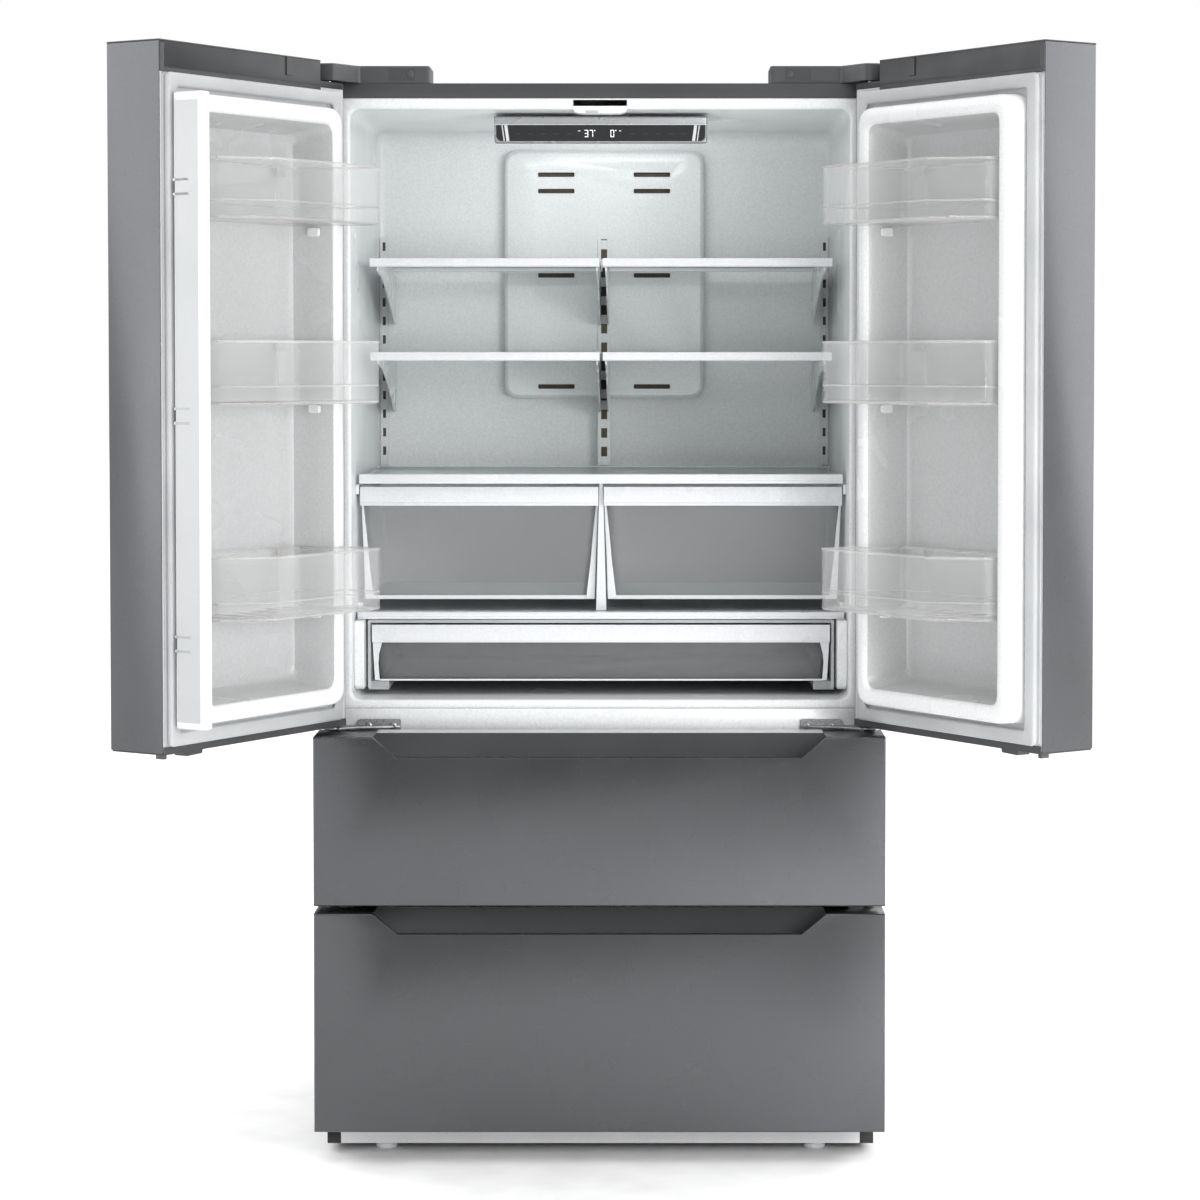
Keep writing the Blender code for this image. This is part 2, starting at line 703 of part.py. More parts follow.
def door_box(side, inner, outer, y0, y1, z0, z1):
    return [side_box(side, inner, outer, y0, y1, z0, z1)]


def hinge_notch(name, side, body):
    """The space in the door's top corner that the hinge arm sweeps through."""
    return boxes(name, door_box(side, 0.3935, 0.47, 0.0400, 0.12, 1.7270, 1.80), "foam", body)


def pin_hole(name, side, foot, top, body):
    rings = [mirrored(circle("Z", level, (PIN_X, PIN_Y), 0.0056, 16), side) for level in (foot, top)]
    return lofted(name, rings, "foam", body)


def door_skin(word, side, body):
    """The bent steel face and edges, open at the top and towards the liner."""
    low, high = (DOOR_INNER, DOOR_BOTTOM), (DOOR_OUTER, 1.7573)
    edge = 0.0022

    def ring(level, inset):
        grown = rounded("Y", level, (low[0] + inset, low[1] + inset), (high[0] - inset, high[1] - inset))
        return mirrored(grown, side)

    rings = [ring(0.0, edge), ring(edge, 0.0), ring(PANEL - 0.001, 0.0), ring(PANEL - 0.001, SKIN)]
    rings.append(ring(SKIN, SKIN))
    skin = lofted(f"{word}_door_skin", rings, "dark_steel", body)
    mouth = door_box(side, DOOR_INNER + SKIN, DOOR_OUTER - SKIN, SKIN, 0.12, 1.74, 1.80)
    cut(skin, boxes(f"{word}_skin_mouth", mouth, "foam", body))
    cut(skin, hinge_notch(f"{word}_skin_notch", side, body))
    cut(skin, pin_hole(f"{word}_skin_bore", side, 0.68, 0.70, body))


def door_cap(word, side, body):
    """The moulded top end of the door, with a lip over the steel and a notch for the hinge."""

    def ring(level, inset, front, back):
        low, high = (DOOR_INNER + inset, front), (DOOR_OUTER - inset, back)
        return mirrored(rounded("Z", level, low, high), side)

    rings = [
        ring(DOOR_CAP_FOOT, SKIN + FIT, SKIN + FIT, PANEL - 0.0005),
        ring(1.7576, SKIN + FIT, SKIN + FIT, PANEL - 0.0005),
        ring(1.7576, 0.0, 0.0006, PANEL),
        ring(1.7590, 0.0, 0.0006, PANEL),
        ring(HEIGHT, 0.001, 0.0016, PANEL - 0.001),
    ]
    cap = lofted(f"{word}_door_cap", rings, "dark_plastic", body)
    cut(cap, hinge_notch(f"{word}_cap_notch", side, body))
    cut(cap, pin_hole(f"{word}_cap_bore", side, 1.7178, 1.75, body))


def door_liner(word, side, body):
    """The foam-backed inner panel: a raised rim round a deep recess that carries the bins."""
    base = PANEL - 0.0008
    proud = PANEL + 0.042
    inset = SKIN + FIT

    def ring(level, low, high, radius):
        return mirrored(rounded("Y", level, low, high, radius, 5), side)

    back_low = (DOOR_INNER + inset, DOOR_BOTTOM + inset)
    back_high = (DOOR_OUTER - inset, DOOR_CAP_FOOT - FIT)
    rings = [
        ring(SKIN + FIT, back_low, back_high, 0.002),
        ring(base, back_low, back_high, 0.002),
        ring(base, (0.0333, 0.7345), (0.4000, 1.6820), 0.027),
        ring(proud - 0.006, (0.0343, 0.7355), (0.3990, 1.6810), 0.027),
        ring(proud, (0.0395, 0.7410), (0.3940, 1.6760), 0.024),
        ring(proud, (0.0560, 0.7580), (0.3790, 1.6580), 0.016),
        ring(proud - 0.006, (0.0600, 0.7620), (0.3740, 1.6540), 0.014),
        ring(0.0680, (0.0700, 0.7740), (0.3640, 1.6400), 0.012),
    ]
    liner = smooth(lofted(f"{word}_door_liner", rings, "door_liner", body))
    cut(liner, pin_hole(f"{word}_liner_bore", side, 0.68, 0.716, body))
    if word == "left":
        lugs = []
        for level in FLIPPER_LUGS:
            span = (level - LUG_HEIGHT / 2, level + LUG_HEIGHT / 2)
            lugs.append((-0.0380, FLIPPER_X + 0.004, FLIPPER_Y - 0.004, FLIPPER_Y + 0.004, *span))
        fuse(liner, boxes("flipper_lugs", lugs, "door_liner", body))


def door_gasket(word, side, body):
    """The magnetic seal, a flat ring with a softened outer edge."""
    thick = PANEL + SEAL_GAP - 0.0006
    outer = ((0.0063, 0.7045), (0.4325, 1.7115))
    inner = ((0.0293, 0.7265), (0.4125, 1.6900))

    def ring(level, pair, inset):
        low = (pair[0][0] + inset, pair[0][1] + inset)
        high = (pair[1][0] - inset, pair[1][1] - inset)
        return mirrored(rounded("Y", level, low, high, 0.006, 3), side)

    base = PANEL - 0.0005
    rings = [
        ring(base, inner, 0.0),
        ring(base, outer, 0.0),
        ring(thick - 0.004, outer, 0.0),
        ring(thick, outer, 0.004),
        ring(thick, inner, -0.003),
    ]
    bm = bmesh.new()
    loops = [[bm.verts.new(co) for co in each] for each in rings]
    for first, second in zip(loops, loops[1:] + loops[:1]):
        for i in range(len(first)):
            j = (i + 1) % len(first)
            bm.faces.new((first[i], first[j], second[j], second[i]))
    place(f"{word}_door_gasket", bm, "gasket", body)


def door_bin(name, side, foot, top, body):
    """A clear bin held in the recess; its front runs straight, then slants back to the free side."""
    outline = [
        (0.0695, PANEL - 0.025),
        (0.3645, PANEL - 0.025),
        (0.3660, PANEL + 0.044),
        (0.3983, PANEL + 0.044),
        (0.3983, PANEL + 0.109),
        (0.3923, PANEL + 0.115),
        (0.1383, PANEL + 0.115),
        (0.0663, PANEL + 0.058),
    ]
    outline = [(side * x, y) for x, y in outline]
    shell_prism(name, outline, foot, top, 0.0025, True, "clear_bin", body)


def flipper():
    """The folding mullion: a bar with a round hinge side, notched where the door's lugs hold it."""
    outline = []
    for step in range(9):
        bearing = math.radians(90 + 180 * step / 8)
        outline.append(
            (FLIPPER_X + FLIPPER_HALF * math.cos(bearing), FLIPPER_Y + FLIPPER_HALF * math.sin(bearing))
        )
    far = FLIPPER_X - FLIPPER_HALF + FLIPPER_WIDTH
    corner = 0.003
    outline += [
        (far - corner, FLIPPER_Y - FLIPPER_HALF),
        (far, FLIPPER_Y - FLIPPER_HALF + corner),
        (far, FLIPPER_Y + FLIPPER_HALF - corner),
        (far - corner, FLIPPER_Y + FLIPPER_HALF),
    ]
    bar = smooth(prism("flipper_mullion", "Z", outline, FLIPPER_FOOT, FLIPPER_TOP, "door_liner", "flipper"))
    notches = []
    for level in FLIPPER_LUGS:
        half = LUG_HEIGHT / 2 + 0.001
        notches.append((-0.05, FLIPPER_X + 0.0075, 0.10, 0.16, level - half, level + half))
    cut(bar, boxes("flipper_notches", notches, "foam", "flipper"))


def doors():
    add_body("left_door", "cabinet", (-PIN_X, PIN_Y, 0.0), -LEFT_OPEN)
    add_body("right_door", "cabinet", (PIN_X, PIN_Y, 0.0), RIGHT_OPEN)
    bins = (("top", 1.495, 1.588), ("middle", 1.215, 1.313), ("bottom", 0.889, 0.987))
    for word, side in (("left", -1), ("right", 1)):
        body = f"{word}_door"
        door_skin(word, side, body)
        door_cap(word, side, body)
        door_liner(word, side, body)
        door_gasket(word, side, body)
        for level, foot, top in bins:
            door_bin(f"{word}_bin_{level}", side, foot, top, body)
        upper_hinge(word, side)
        lower_hinge(word, side)
        hinge_cover(word, side)
    add_body("flipper", "left_door", (FLIPPER_X, FLIPPER_Y, 0.0), math.pi / 2)
    flipper()


# ---------------------------------------------------------------- drawers


def drawer_front(name, span, body):
    """A steel-faced slab with a finger pull let into its top edge."""
    foot, top = span
    edge = 0.0022

    def ring(level, inset):
        low, high = (-HALF_WIDTH + inset, foot + inset), (HALF_WIDTH - inset, top - inset)
        return rounded("Y", level, low, high)

    front = lofted(name, [ring(0.0, edge), ring(edge, 0.0), ring(PANEL, 0.0)], "dark_steel", body)
    dip = top - 0.0330
    slope = 0.0399 / 0.0330
    rise = 0.020
    reach = 0.3616 + rise * slope
    mouth = [(-0.3217, dip), (0.3217, dip), (reach, top + rise), (-reach, top + rise)]
    cut(front, prism(f"{name}_mouth", "Y", mouth, -0.02, 0.0120, "foam", body))
    scoop = [
        (0.0119, top - 0.060),
        (0.0420, top - 0.060),
        (0.0560, top - 0.040),
        (0.0600, top + 0.020),
        (0.0119, top + 0.020),
    ]
    cut(front, prism(f"{name}_scoop", "X", scoop, -0.3600, 0.3600, "foam", body))


def drawer_basket(name, back, foot, top, rail_foot, body):
    """A deep tub with a bar down each side that bolts to the front and rides on the slide."""
    basket = tub(name, (-0.362, 0.126), (0.362, back), foot, top, 0.010, 0.003, "basket", body)
    bars = both_sides(0.3562, 0.3800, PANEL + FIT, back - 0.020, rail_foot, rail_foot + 0.022)
    fuse(basket, boxes(f"{name}_bars", bars, "zinc", body))


def freezer_drawer(word, span, back, basket_foot, basket_top, rail_foot):
    body = f"{word}_drawer"
    middle = (span[0] + span[1]) / 2
    add_body(body, "cabinet", (0.0, 0.0, middle))
    drawer_front(f"{word}_drawer_front", span, body)
    drawer_basket(f"{word}_drawer_basket", back, basket_foot, basket_top, rail_foot, body)
    for side_word, side in (("left", -1), ("right", 1)):
        slide = f"{word}_slide_{side_word}"
        add_body(slide, "cabinet", (side * 0.390, 0.130, rail_foot))
        foot, top = rail_foot - 0.004, rail_foot + 0.026
        member = [side_box(side, 0.3840, 0.3960, 0.1300, back - 0.012, foot, top)]
        channel = boxes(f"{slide}_member", member, "zinc", slide)
        groove = [side_box(side, 0.37, 0.3925, 0.05, back + 0.1, foot + 0.0025, top - 0.0025)]
        cut(channel, boxes(f"{slide}_groove", groove, "foam", slide))


def crisper(word, side):
    """A clear bin under the glass, with a white pull panel along its front."""
    body = f"crisper_{word}"
    add_body(body, "cabinet", (side * 0.201, 0.203, 0.980))
    low, high = sorted((side * 0.0045, side * 0.3975))
    bin_ = tub(body + "_bin", (low, 0.226), (high, 0.580), 0.887, 1.0730, 0.006, 0.003, "crisper", body)
    panel = [(low, high, 0.2030, 0.2275, 1.0430, 1.0740)]
    fuse(bin_, boxes(f"{body}_panel", panel, "crisper", body))


def deli_drawer():
    add_body("deli_drawer", "cabinet", (0.0, 0.179, 0.800))
    low, high = (-0.3765, 0.185), (0.3765, 0.582)
    tray = tub("deli_drawer_tray", low, high, 0.756, 0.8470, 0.010, 0.003, "crisper", "deli_drawer")
    panel = [(-0.3765, 0.3765, 0.1790, 0.1865, 0.8190, 0.8480)]
    fuse(tray, boxes("deli_panel", panel, "crisper", "deli_drawer"))


def drawers():
    freezer_drawer("upper", UPPER_DRAWER, 0.575, 0.405, 0.640, 0.520)
    freezer_drawer("lower", LOWER_DRAWER, 0.435, 0.115, 0.360, 0.250)
    crisper("left", -1)
    crisper("right", 1)
    deli_drawer()


# ---------------------------------------------------------------- turning parts


def levelling_foot(word, side):
    body = f"front_foot_{word}"
    centre = (side * 0.349, 0.118)
    add_body(body, "cabinet", (*centre, 0.0))
    stages = [(0.0, 0.016), (0.002, 0.0175), (0.009, 0.0175), (0.011, 0.009)]
    stages += [(0.0112, 0.005), (0.0440, 0.005)]
    rings = [circle("Z", level, centre, radius, 16) for level, radius in stages]
    smooth(lofted(body + "_screw", rings, "rubber", body))


def rear_roller(word, side):
    body = f"rear_roller_{word}"
    add_body(body, "cabinet", (side * 0.420, 0.690, 0.020))
    rim = 0.0204
    stages = [(0.3875, 0.004), (0.3980, 0.004), (0.3982, 0.018), (0.4000, rim)]
    stages += [(0.4280, rim), (0.4300, 0.018), (0.4302, 0.004), (0.4450, 0.004)]
    rings = [mirrored(circle("X", x, (0.690, 0.020), radius, 16), side) for x, radius in stages]
    smooth(lofted(body + "_wheel", rings, "black_plastic", body))


def fans():
    centre = (-0.030, 0.625, 0.160)
    add_body("condenser_fan", "cabinet", centre)
    fan("condenser_fan_rotor", centre, "X", 0.022, 0.078, 0.030, 5, "black_plastic", "condenser_fan")
    centre = (0.0, 0.652, 0.600)
    add_body("evaporator_fan", "cabinet", centre)
    fan("evaporator_fan_rotor", centre, "Y", 0.014, 0.046, 0.020, 5, "black_plastic", "evaporator_fan")


def turning_parts():
    for word, side in (("left", -1), ("right", 1)):
        levelling_foot(word, side)
        rear_roller(word, side)
    fans()


def main():
    clear_scene()
    add_body("refrigerator", None, (0.0, -ORIGIN_BEHIND_FRONT, 0.0))
    add_body("cabinet", "refrigerator", (0.0, 0.0, 0.0))
    cabinet_shell()
    insulation_foam()
    fridge_liner()
    freezer_liner()
    centre_rail()
    back_panel()
    machine_room_cover()
    base_tray()
    toe_kick()
    compressor()
    cooling_circuit()
    air_duct_cover()
    shelves()
    control_panel()
    flipper_guide()
    doors()
    drawers()
    turning_parts()


main()
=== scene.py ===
"""French door refrigerator with its doors open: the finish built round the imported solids.

Shapes are drawn in the shut appliance's own coordinates, in metres: X to the right seen from the
front, Y into the cabinet from the drawer fronts' face, Z up. SPACES carries each body's shape from
there to where it stands at rest, so a door's pieces are drawn as if the door were shut.
"""

import json
import math

import bmesh
import bpy
from mathutils import Matrix, Vector

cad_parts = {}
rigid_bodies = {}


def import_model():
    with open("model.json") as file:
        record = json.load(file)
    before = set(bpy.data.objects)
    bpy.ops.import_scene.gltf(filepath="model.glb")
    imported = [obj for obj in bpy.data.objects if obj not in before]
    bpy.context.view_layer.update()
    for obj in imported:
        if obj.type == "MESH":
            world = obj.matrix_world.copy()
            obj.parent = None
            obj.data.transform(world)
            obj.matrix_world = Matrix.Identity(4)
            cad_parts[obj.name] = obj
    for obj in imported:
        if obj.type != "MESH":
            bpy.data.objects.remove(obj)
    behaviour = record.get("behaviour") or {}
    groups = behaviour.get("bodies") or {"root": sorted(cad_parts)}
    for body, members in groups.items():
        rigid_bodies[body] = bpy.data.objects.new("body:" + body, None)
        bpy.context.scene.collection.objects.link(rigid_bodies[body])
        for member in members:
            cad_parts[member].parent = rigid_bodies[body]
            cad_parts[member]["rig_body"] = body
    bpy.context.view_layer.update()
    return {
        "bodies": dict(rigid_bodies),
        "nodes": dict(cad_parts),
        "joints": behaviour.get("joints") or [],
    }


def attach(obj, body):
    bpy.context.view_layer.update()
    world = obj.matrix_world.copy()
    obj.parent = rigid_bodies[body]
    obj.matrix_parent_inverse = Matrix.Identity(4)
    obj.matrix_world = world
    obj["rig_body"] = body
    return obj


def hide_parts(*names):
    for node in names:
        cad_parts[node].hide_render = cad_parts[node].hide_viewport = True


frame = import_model()
NODES = frame["nodes"]
JOINTS = {joint["name"]: joint for joint in frame["joints"]}

SETBACK = 0.21  # from the drawer fronts' face to the origin
PANEL = 0.104  # thickness of the doors and drawer fronts
FACE = 0.118  # the cabinet's front face
DOOR_INNER = 0.0023
DOOR_OUTER = 0.4535
DOOR_BOTTOM = 0.6945
FIN = 0.0004  # thickness of a coil fin
MULLION = Vector((-0.0203, PANEL + 0.0248, 0.0))
SIDES = (("left", -1), ("right", 1))
REAR_COVER, REAR_PANEL = 0.7376, 0.7371  # outer faces of the rear sheets
BINS = (("top", 1.495, 1.588), ("middle", 1.215, 1.313), ("bottom", 0.889, 0.987))  # foot and top
TRACK_PITCH = 0.033
LEAF_LEVELS = (0.86, 1.2, 1.54)  # heights of the mullion's hinge leaves
DRAWERS = (("upper", 0.4143, 0.6843, 0.64, 0.575), ("lower", 0.052, 0.4023, 0.36, 0.435))


# ---------------------------------------------------------------- spaces


def turned(pivot, degrees):
    spin = Matrix.Rotation(math.radians(degrees), 4, "Z")
    return Matrix.Translation(pivot) @ spin @ Matrix.Translation(-pivot)


def door_space(joint, sense):
    pivot = Vector(JOINTS[joint]["pos_m"])
    opened = sense * JOINTS[joint]["range_deg"][0]
    return turned(pivot, opened) @ SHUT


SHUT = Matrix.Translation((0.0, -SETBACK, 0.0))
SPACES = {body: SHUT for body in frame["bodies"]}
SPACES["left_door"] = door_space("left_door_hinge", 1)
SPACES["right_door"] = door_space("right_door_hinge", -1)
SPACES["flipper"] = SPACES["left_door"] @ turned(MULLION, 90)


# ---------------------------------------------------------------- looks


class Surface:
    """A material whose colour, roughness and relief come from nodes."""

    def __init__(self, name):
        self.material = bpy.data.materials.new(name)
        self.material.use_nodes = True
        self.tree = self.material.node_tree
        self.shader = self.tree.nodes["Principled BSDF"]
        self.place = self.tree.nodes.new("ShaderNodeTexCoord").outputs["Object"]

    def node(self, kind, inputs, **settings):
        made = self.tree.nodes.new(kind)
        for key, value in settings.items():
            setattr(made, key, value)
        for key, value in inputs.items():
            if isinstance(value, bpy.types.NodeSocket):
                self.tree.links.new(value, made.inputs[key])
            else:
                made.inputs[key].default_value = value
        return made

    def feed(self, name, value):
        if isinstance(value, bpy.types.NodeSocket):
            self.tree.links.new(value, self.shader.inputs[name])
        else:
            self.shader.inputs[name].default_value = value

    def noise(self, scale, detail=3.0, rough=0.55):
        stretched = self.node("ShaderNodeMapping", {"Vector": self.place, "Scale": scale})
        inputs = {"Vector": stretched.outputs[0], "Scale": 1.0, "Detail": detail, "Roughness": rough}
        return self.node("ShaderNodeTexNoise", inputs).outputs["Fac"]

    def span(self, value, out_low, out_high, low=0.3, high=0.7):
        inputs = {"Value": value, "From Min": low, "From Max": high, "To Min": out_low, "To Max": out_high}
        return self.node("ShaderNodeMapRange", inputs).outputs[0]

    def blend(self, factor, first, second):
        made = self.node("ShaderNodeMix", {}, data_type="RGBA")
        slots = [s for s in made.inputs if s.type == "RGBA"]
        self.tree.links.new(factor, made.inputs[0])
        for target, value in zip(slots, (first, second)):
            if isinstance(value, bpy.types.NodeSocket):
                self.tree.links.new(value, target)
            else:
                target.default_value = (*value, 1.0)
        return next(s for s in made.outputs if s.type == "RGBA")

    def bump(self, height, strength, distance, under=None):
        inputs = {"Height": height, "Strength": strength, "Distance": distance}
        if under is not None:
            inputs["Normal"] = under
        return self.node("ShaderNodeBump", inputs).outputs[0]


LOOKS = {}


def finish(name, slot, dark, light, patch, rough, grain, relief, metal=0.0, fixed=(), wave=0.0):
    """Two close colours in soft patches, a roughness that wanders, and a fine grain in relief."""
    made = Surface(name)
    patches = made.noise((patch, patch, patch), 4.0)
    fine = made.noise(grain if isinstance(grain, tuple) else (grain, grain, grain), 2.0)
    colour = made.blend(made.span(patches, 0.0, 1.0), dark, light)
    speckle = made.span(fine, 0.94, 1.06)
    tone = made.node("ShaderNodeVectorMath", {0: colour, 1: (1, 1, 1)}, operation="MULTIPLY")
    made.tree.links.new(speckle, tone.inputs[1])
    made.feed("Base Color", tone.outputs[0])
    made.feed("Roughness", made.span(made.noise((patch * 3, patch * 3, patch * 3), 3.0), *rough))
    normal = made.bump(fine, 0.35, relief)
    if wave:
        normal = made.bump(made.noise((18.0, 18.0, 18.0), 1.0), 0.5, wave, normal)
    made.feed("Normal", normal)
    made.feed("Metallic", metal)
    for key, value in dict(fixed).items():
        made.feed(key, value)
    LOOKS[name] = made
    return made


def clear(name, slot, dark, light, rough, face, edge, ior):
    """A see-through plastic or glass that closes up where it is seen at a slant."""
    made = finish(name, slot, dark, light, 2.5, rough, 160.0, 0.000008, fixed={"IOR": ior})
    facing = made.node("ShaderNodeLayerWeight", {"Blend": 0.35}).outputs["Facing"]
    made.feed("Alpha", made.span(facing, face, edge, 0.0, 1.0))
    return made


def speckled_foam(made):
    cells = made.node("ShaderNodeTexVoronoi", {"Vector": made.place, "Scale": 320.0}).outputs["Distance"]
    made.feed("Normal", made.bump(cells, 0.6, 0.0006))


# name, slot, darker colour, lighter colour, patch scale, roughness span, grain scale, relief height, more
FINISHES = (
    ("dark_steel", "dark_steel", (0.098, 0.1, 0.105), (0.107, 0.109, 0.115),
     2.2, (0.25, 0.3), (650.0, 650.0, 420.0), 0.00001, dict(metal=0.85)),
    ("paint", "cabinet_paint", (0.046, 0.048, 0.05), (0.058, 0.06, 0.062),
     3.0, (0.4, 0.52), 520.0, 0.00012, dict(metal=0.15)),
    ("dark_plastic", "dark_plastic", (0.044, 0.046, 0.049), (0.056, 0.058, 0.062),
     7.0, (0.42, 0.55), 900.0, 0.0001, {}),
    ("cap_plastic", "dark_plastic", (0.016, 0.017, 0.019), (0.023, 0.024, 0.026),
     7.0, (0.42, 0.55), 900.0, 0.00008, {}),
    # The pull look is darker than dark_plastic: in the drawer pulls it is their dark plastic deepened with
    # painted shade.
    ("pull_lining_and_shade", "dark_plastic", (0.03, 0.031, 0.033), (0.041, 0.042, 0.045),
     6.0, (0.45, 0.6), 900.0, 0.0001, {}),
    ("black_plastic", "black_plastic", (0.012, 0.012, 0.013), (0.022, 0.022, 0.023),
     9.0, (0.45, 0.6), 800.0, 0.00012, {}),
    ("gloss_black", "gloss_black", (0.016, 0.017, 0.019), (0.02, 0.021, 0.023),
     12.0, (0.16, 0.24), 300.0, 0.00001, dict(fixed={"Specular IOR Level": 0.3})),
    ("white_liner", "white_liner", (0.745, 0.76, 0.77), (0.775, 0.79, 0.8),
     1.5, (0.2, 0.28), 260.0, 0.00002, dict(wave=0.00003)),
    ("door_liner", "door_liner", (0.79, 0.798, 0.802), (0.825, 0.832, 0.836),
     1.5, (0.22, 0.3), 260.0, 0.00002, dict(wave=0.00003)),
    ("white_trim", "shelf", (0.7, 0.712, 0.73), (0.72, 0.732, 0.748),
     2.5, (0.22, 0.3), 500.0, 0.00003, {}),
    ("gasket", "gasket", (0.4, 0.41, 0.42), (0.5, 0.51, 0.52),
     5.0, (0.5, 0.65), 700.0, 0.0001, dict(fixed={"Sheen Weight": 0.25})),
    ("basket", "basket", (0.72, 0.74, 0.75), (0.79, 0.81, 0.82), 5.0, (0.32, 0.46), 420.0, 0.00006, {}),
    ("satin_steel", "satin_steel", (0.32, 0.33, 0.34), (0.42, 0.43, 0.44),
     26.0, (0.25, 0.42), 500.0, 0.00006, dict(metal=1.0)),
    ("zinc", "zinc", (0.26, 0.27, 0.28), (0.33, 0.34, 0.35),
     34.0, (0.34, 0.5), 200.0, 0.00004, dict(metal=1.0)),
    ("copper", "copper", (0.55, 0.27, 0.16), (0.78, 0.45, 0.3),
     30.0, (0.22, 0.45), 300.0, 0.00003, dict(metal=1.0)),
    ("foam", "foam", (0.7, 0.6, 0.4), (0.82, 0.73, 0.53), 8.0, (0.85, 0.95), 200.0, 0.0004, {}),
    ("rubber", "rubber", (0.2, 0.21, 0.22), (0.26, 0.27, 0.28), 30.0, (0.5, 0.65), 600.0, 0.00015, {}),
    ("silver_trim", "silver_trim", (0.62, 0.63, 0.64), (0.68, 0.69, 0.7),
     6.0, (0.26, 0.36), 500.0, 0.00002, dict(metal=0.25)),
    ("mullion_plate", "silver_trim", (0.47, 0.48, 0.49), (0.51, 0.52, 0.53),
     3.0, (0.28, 0.36), 600.0, 0.00001, dict(metal=0.15)),
    ("hinge_steel", "satin_steel", (0.16, 0.165, 0.17), (0.36, 0.37, 0.38),
     420.0, (0.35, 0.55), 600.0, 0.00008, dict(metal=0.8)),
    ("console_silver", "silver_trim", (0.33, 0.34, 0.35), (0.37, 0.38, 0.39),
     6.0, (0.24, 0.32), 500.0, 0.00002, dict(metal=0.5)),
    # The recess look is the door liner's white darkened: painted shade for the door's deep recess.
    ("recess_painted_shade", "door_liner", (0.51, 0.516, 0.52), (0.535, 0.541, 0.545),
     1.5, (0.22, 0.3), 260.0, 0.00002, dict(wave=0.00003)),
    ("foot_grey", "rubber", (0.8, 0.81, 0.82), (0.86, 0.87, 0.88), 12.0, (0.4, 0.5), 500.0, 0.00003, {}),
    ("flange_grey", "door_liner", (0.56, 0.57, 0.585), (0.6, 0.61, 0.625),
     2.0, (0.3, 0.4), 260.0, 0.00003, {}),
    ("slot_shadow", "black_plastic", (0.06, 0.05, 0.034), (0.1, 0.085, 0.06),
     16.0, (0.6, 0.8), 300.0, 0.0002, {}),
    ("glass_edge", "shelf", (0.4, 0.62, 0.52), (0.5, 0.72, 0.62), 20.0, (0.05, 0.15), 300.0, 0.00002, {}),
    ("display", "gloss_black", (0.9, 0.94, 0.97), (0.97, 0.98, 1.0),
     30.0, (0.3, 0.4), 300.0, 0.00001,
     dict(fixed={"Emission Color": (0.93, 0.97, 1.0, 1.0), "Emission Strength": 0.7})),
)
# name, slot, darker colour, lighter colour, roughness span, opacity face on, opacity at a slant, index
CLEARS = (
    ("clear_bin", "clear_bin", (0.7, 0.71, 0.71), (0.72, 0.73, 0.73), (0.04, 0.07), 0.07, 0.46, 1.49),
    ("bin_edge", "clear_bin", (0.46, 0.44, 0.42), (0.8, 0.8, 0.79), (0.06, 0.14), 0.34, 0.8, 1.49),
    ("crisper_clear", "crisper", (0.72, 0.73, 0.74), (0.74, 0.75, 0.76), (0.06, 0.1), 0.1, 0.55, 1.49),
    ("frosted", "crisper", (0.66, 0.69, 0.7), (0.7, 0.73, 0.74), (0.3, 0.42), 0.62, 0.92, 1.49),
    # The deli tub look is near-black: painted shade for the tray's shadowed inside, not the plastic's own
    # colour.
    ("deli_tub_painted_shade", "crisper", (0.034, 0.037, 0.04), (0.044, 0.047, 0.05), (0.3, 0.42), 0.7, 0.92, 1.49),
    ("glass", "shelf", (0.6, 0.72, 0.67), (0.64, 0.76, 0.71), (0.03, 0.06), 0.16, 0.62, 1.52),
)


def make_looks():
    for *row, more in FINISHES:
        finish(*row, **more)
    speckled_foam(LOOKS["foam"])
    for row in CLEARS:
        clear(*row)


# ---------------------------------------------------------------- shapes

FLAT_AXES = {"X": (1, 2), "Y": (0, 2), "Z": (0, 1)}


def at(axis, level, a, b):
    first, second = FLAT_AXES[axis]
    spot = [level, level, level]
    spot[first] = a
    spot[second] = b
    return tuple(spot)


def softened(outline, radius, steps=4):
    """The outline with each corner drawn as a curve that starts radius short of it."""
    made = []
    for i, corner in enumerate(outline):
        here = Vector(corner)
        before = Vector(outline[i - 1])
        after = Vector(outline[(i + 1) % len(outline)])
        reach_in = min(radius, (before - here).length * 0.45)
        reach_out = min(radius, (after - here).length * 0.45)
        start = here + (before - here).normalized() * reach_in
        end = here + (after - here).normalized() * reach_out
        for step in range(steps + 1):
            t = step / steps
            made.append(tuple(start * (1 - t) ** 2 + here * 2 * t * (1 - t) + end * t * t))
    return made


def rectangle(low, high):
    return [(low[0], low[1]), (high[0], low[1]), (high[0], high[1]), (low[0], high[1])]


def inset(outline, distance):
    """The outline drawn in by distance, corner by corner. It runs anticlockwise."""
    made = []
    for i, corner in enumerate(outline):
        here = Vector(corner)
        along = (here - Vector(outline[i - 1])).normalized()
        onward = (Vector(outline[(i + 1) % len(outline)]) - here).normalized()
        inward = Vector((-along.y, along.x)) + Vector((-onward.y, onward.x))
        bend = max(1.0 + along.dot(onward), 0.2)
        made.append(tuple(here + inward * distance / bend))
    return made


def circle(centre, radius, sides):
    turns = [2 * math.pi * (step + 0.5) / sides for step in range(sides)]
    return [(centre[0] + radius * math.cos(t), centre[1] + radius * math.sin(t)) for t in turns]


def raised(axis, level, outline):
    return [at(axis, level, a, b) for a, b in outline]


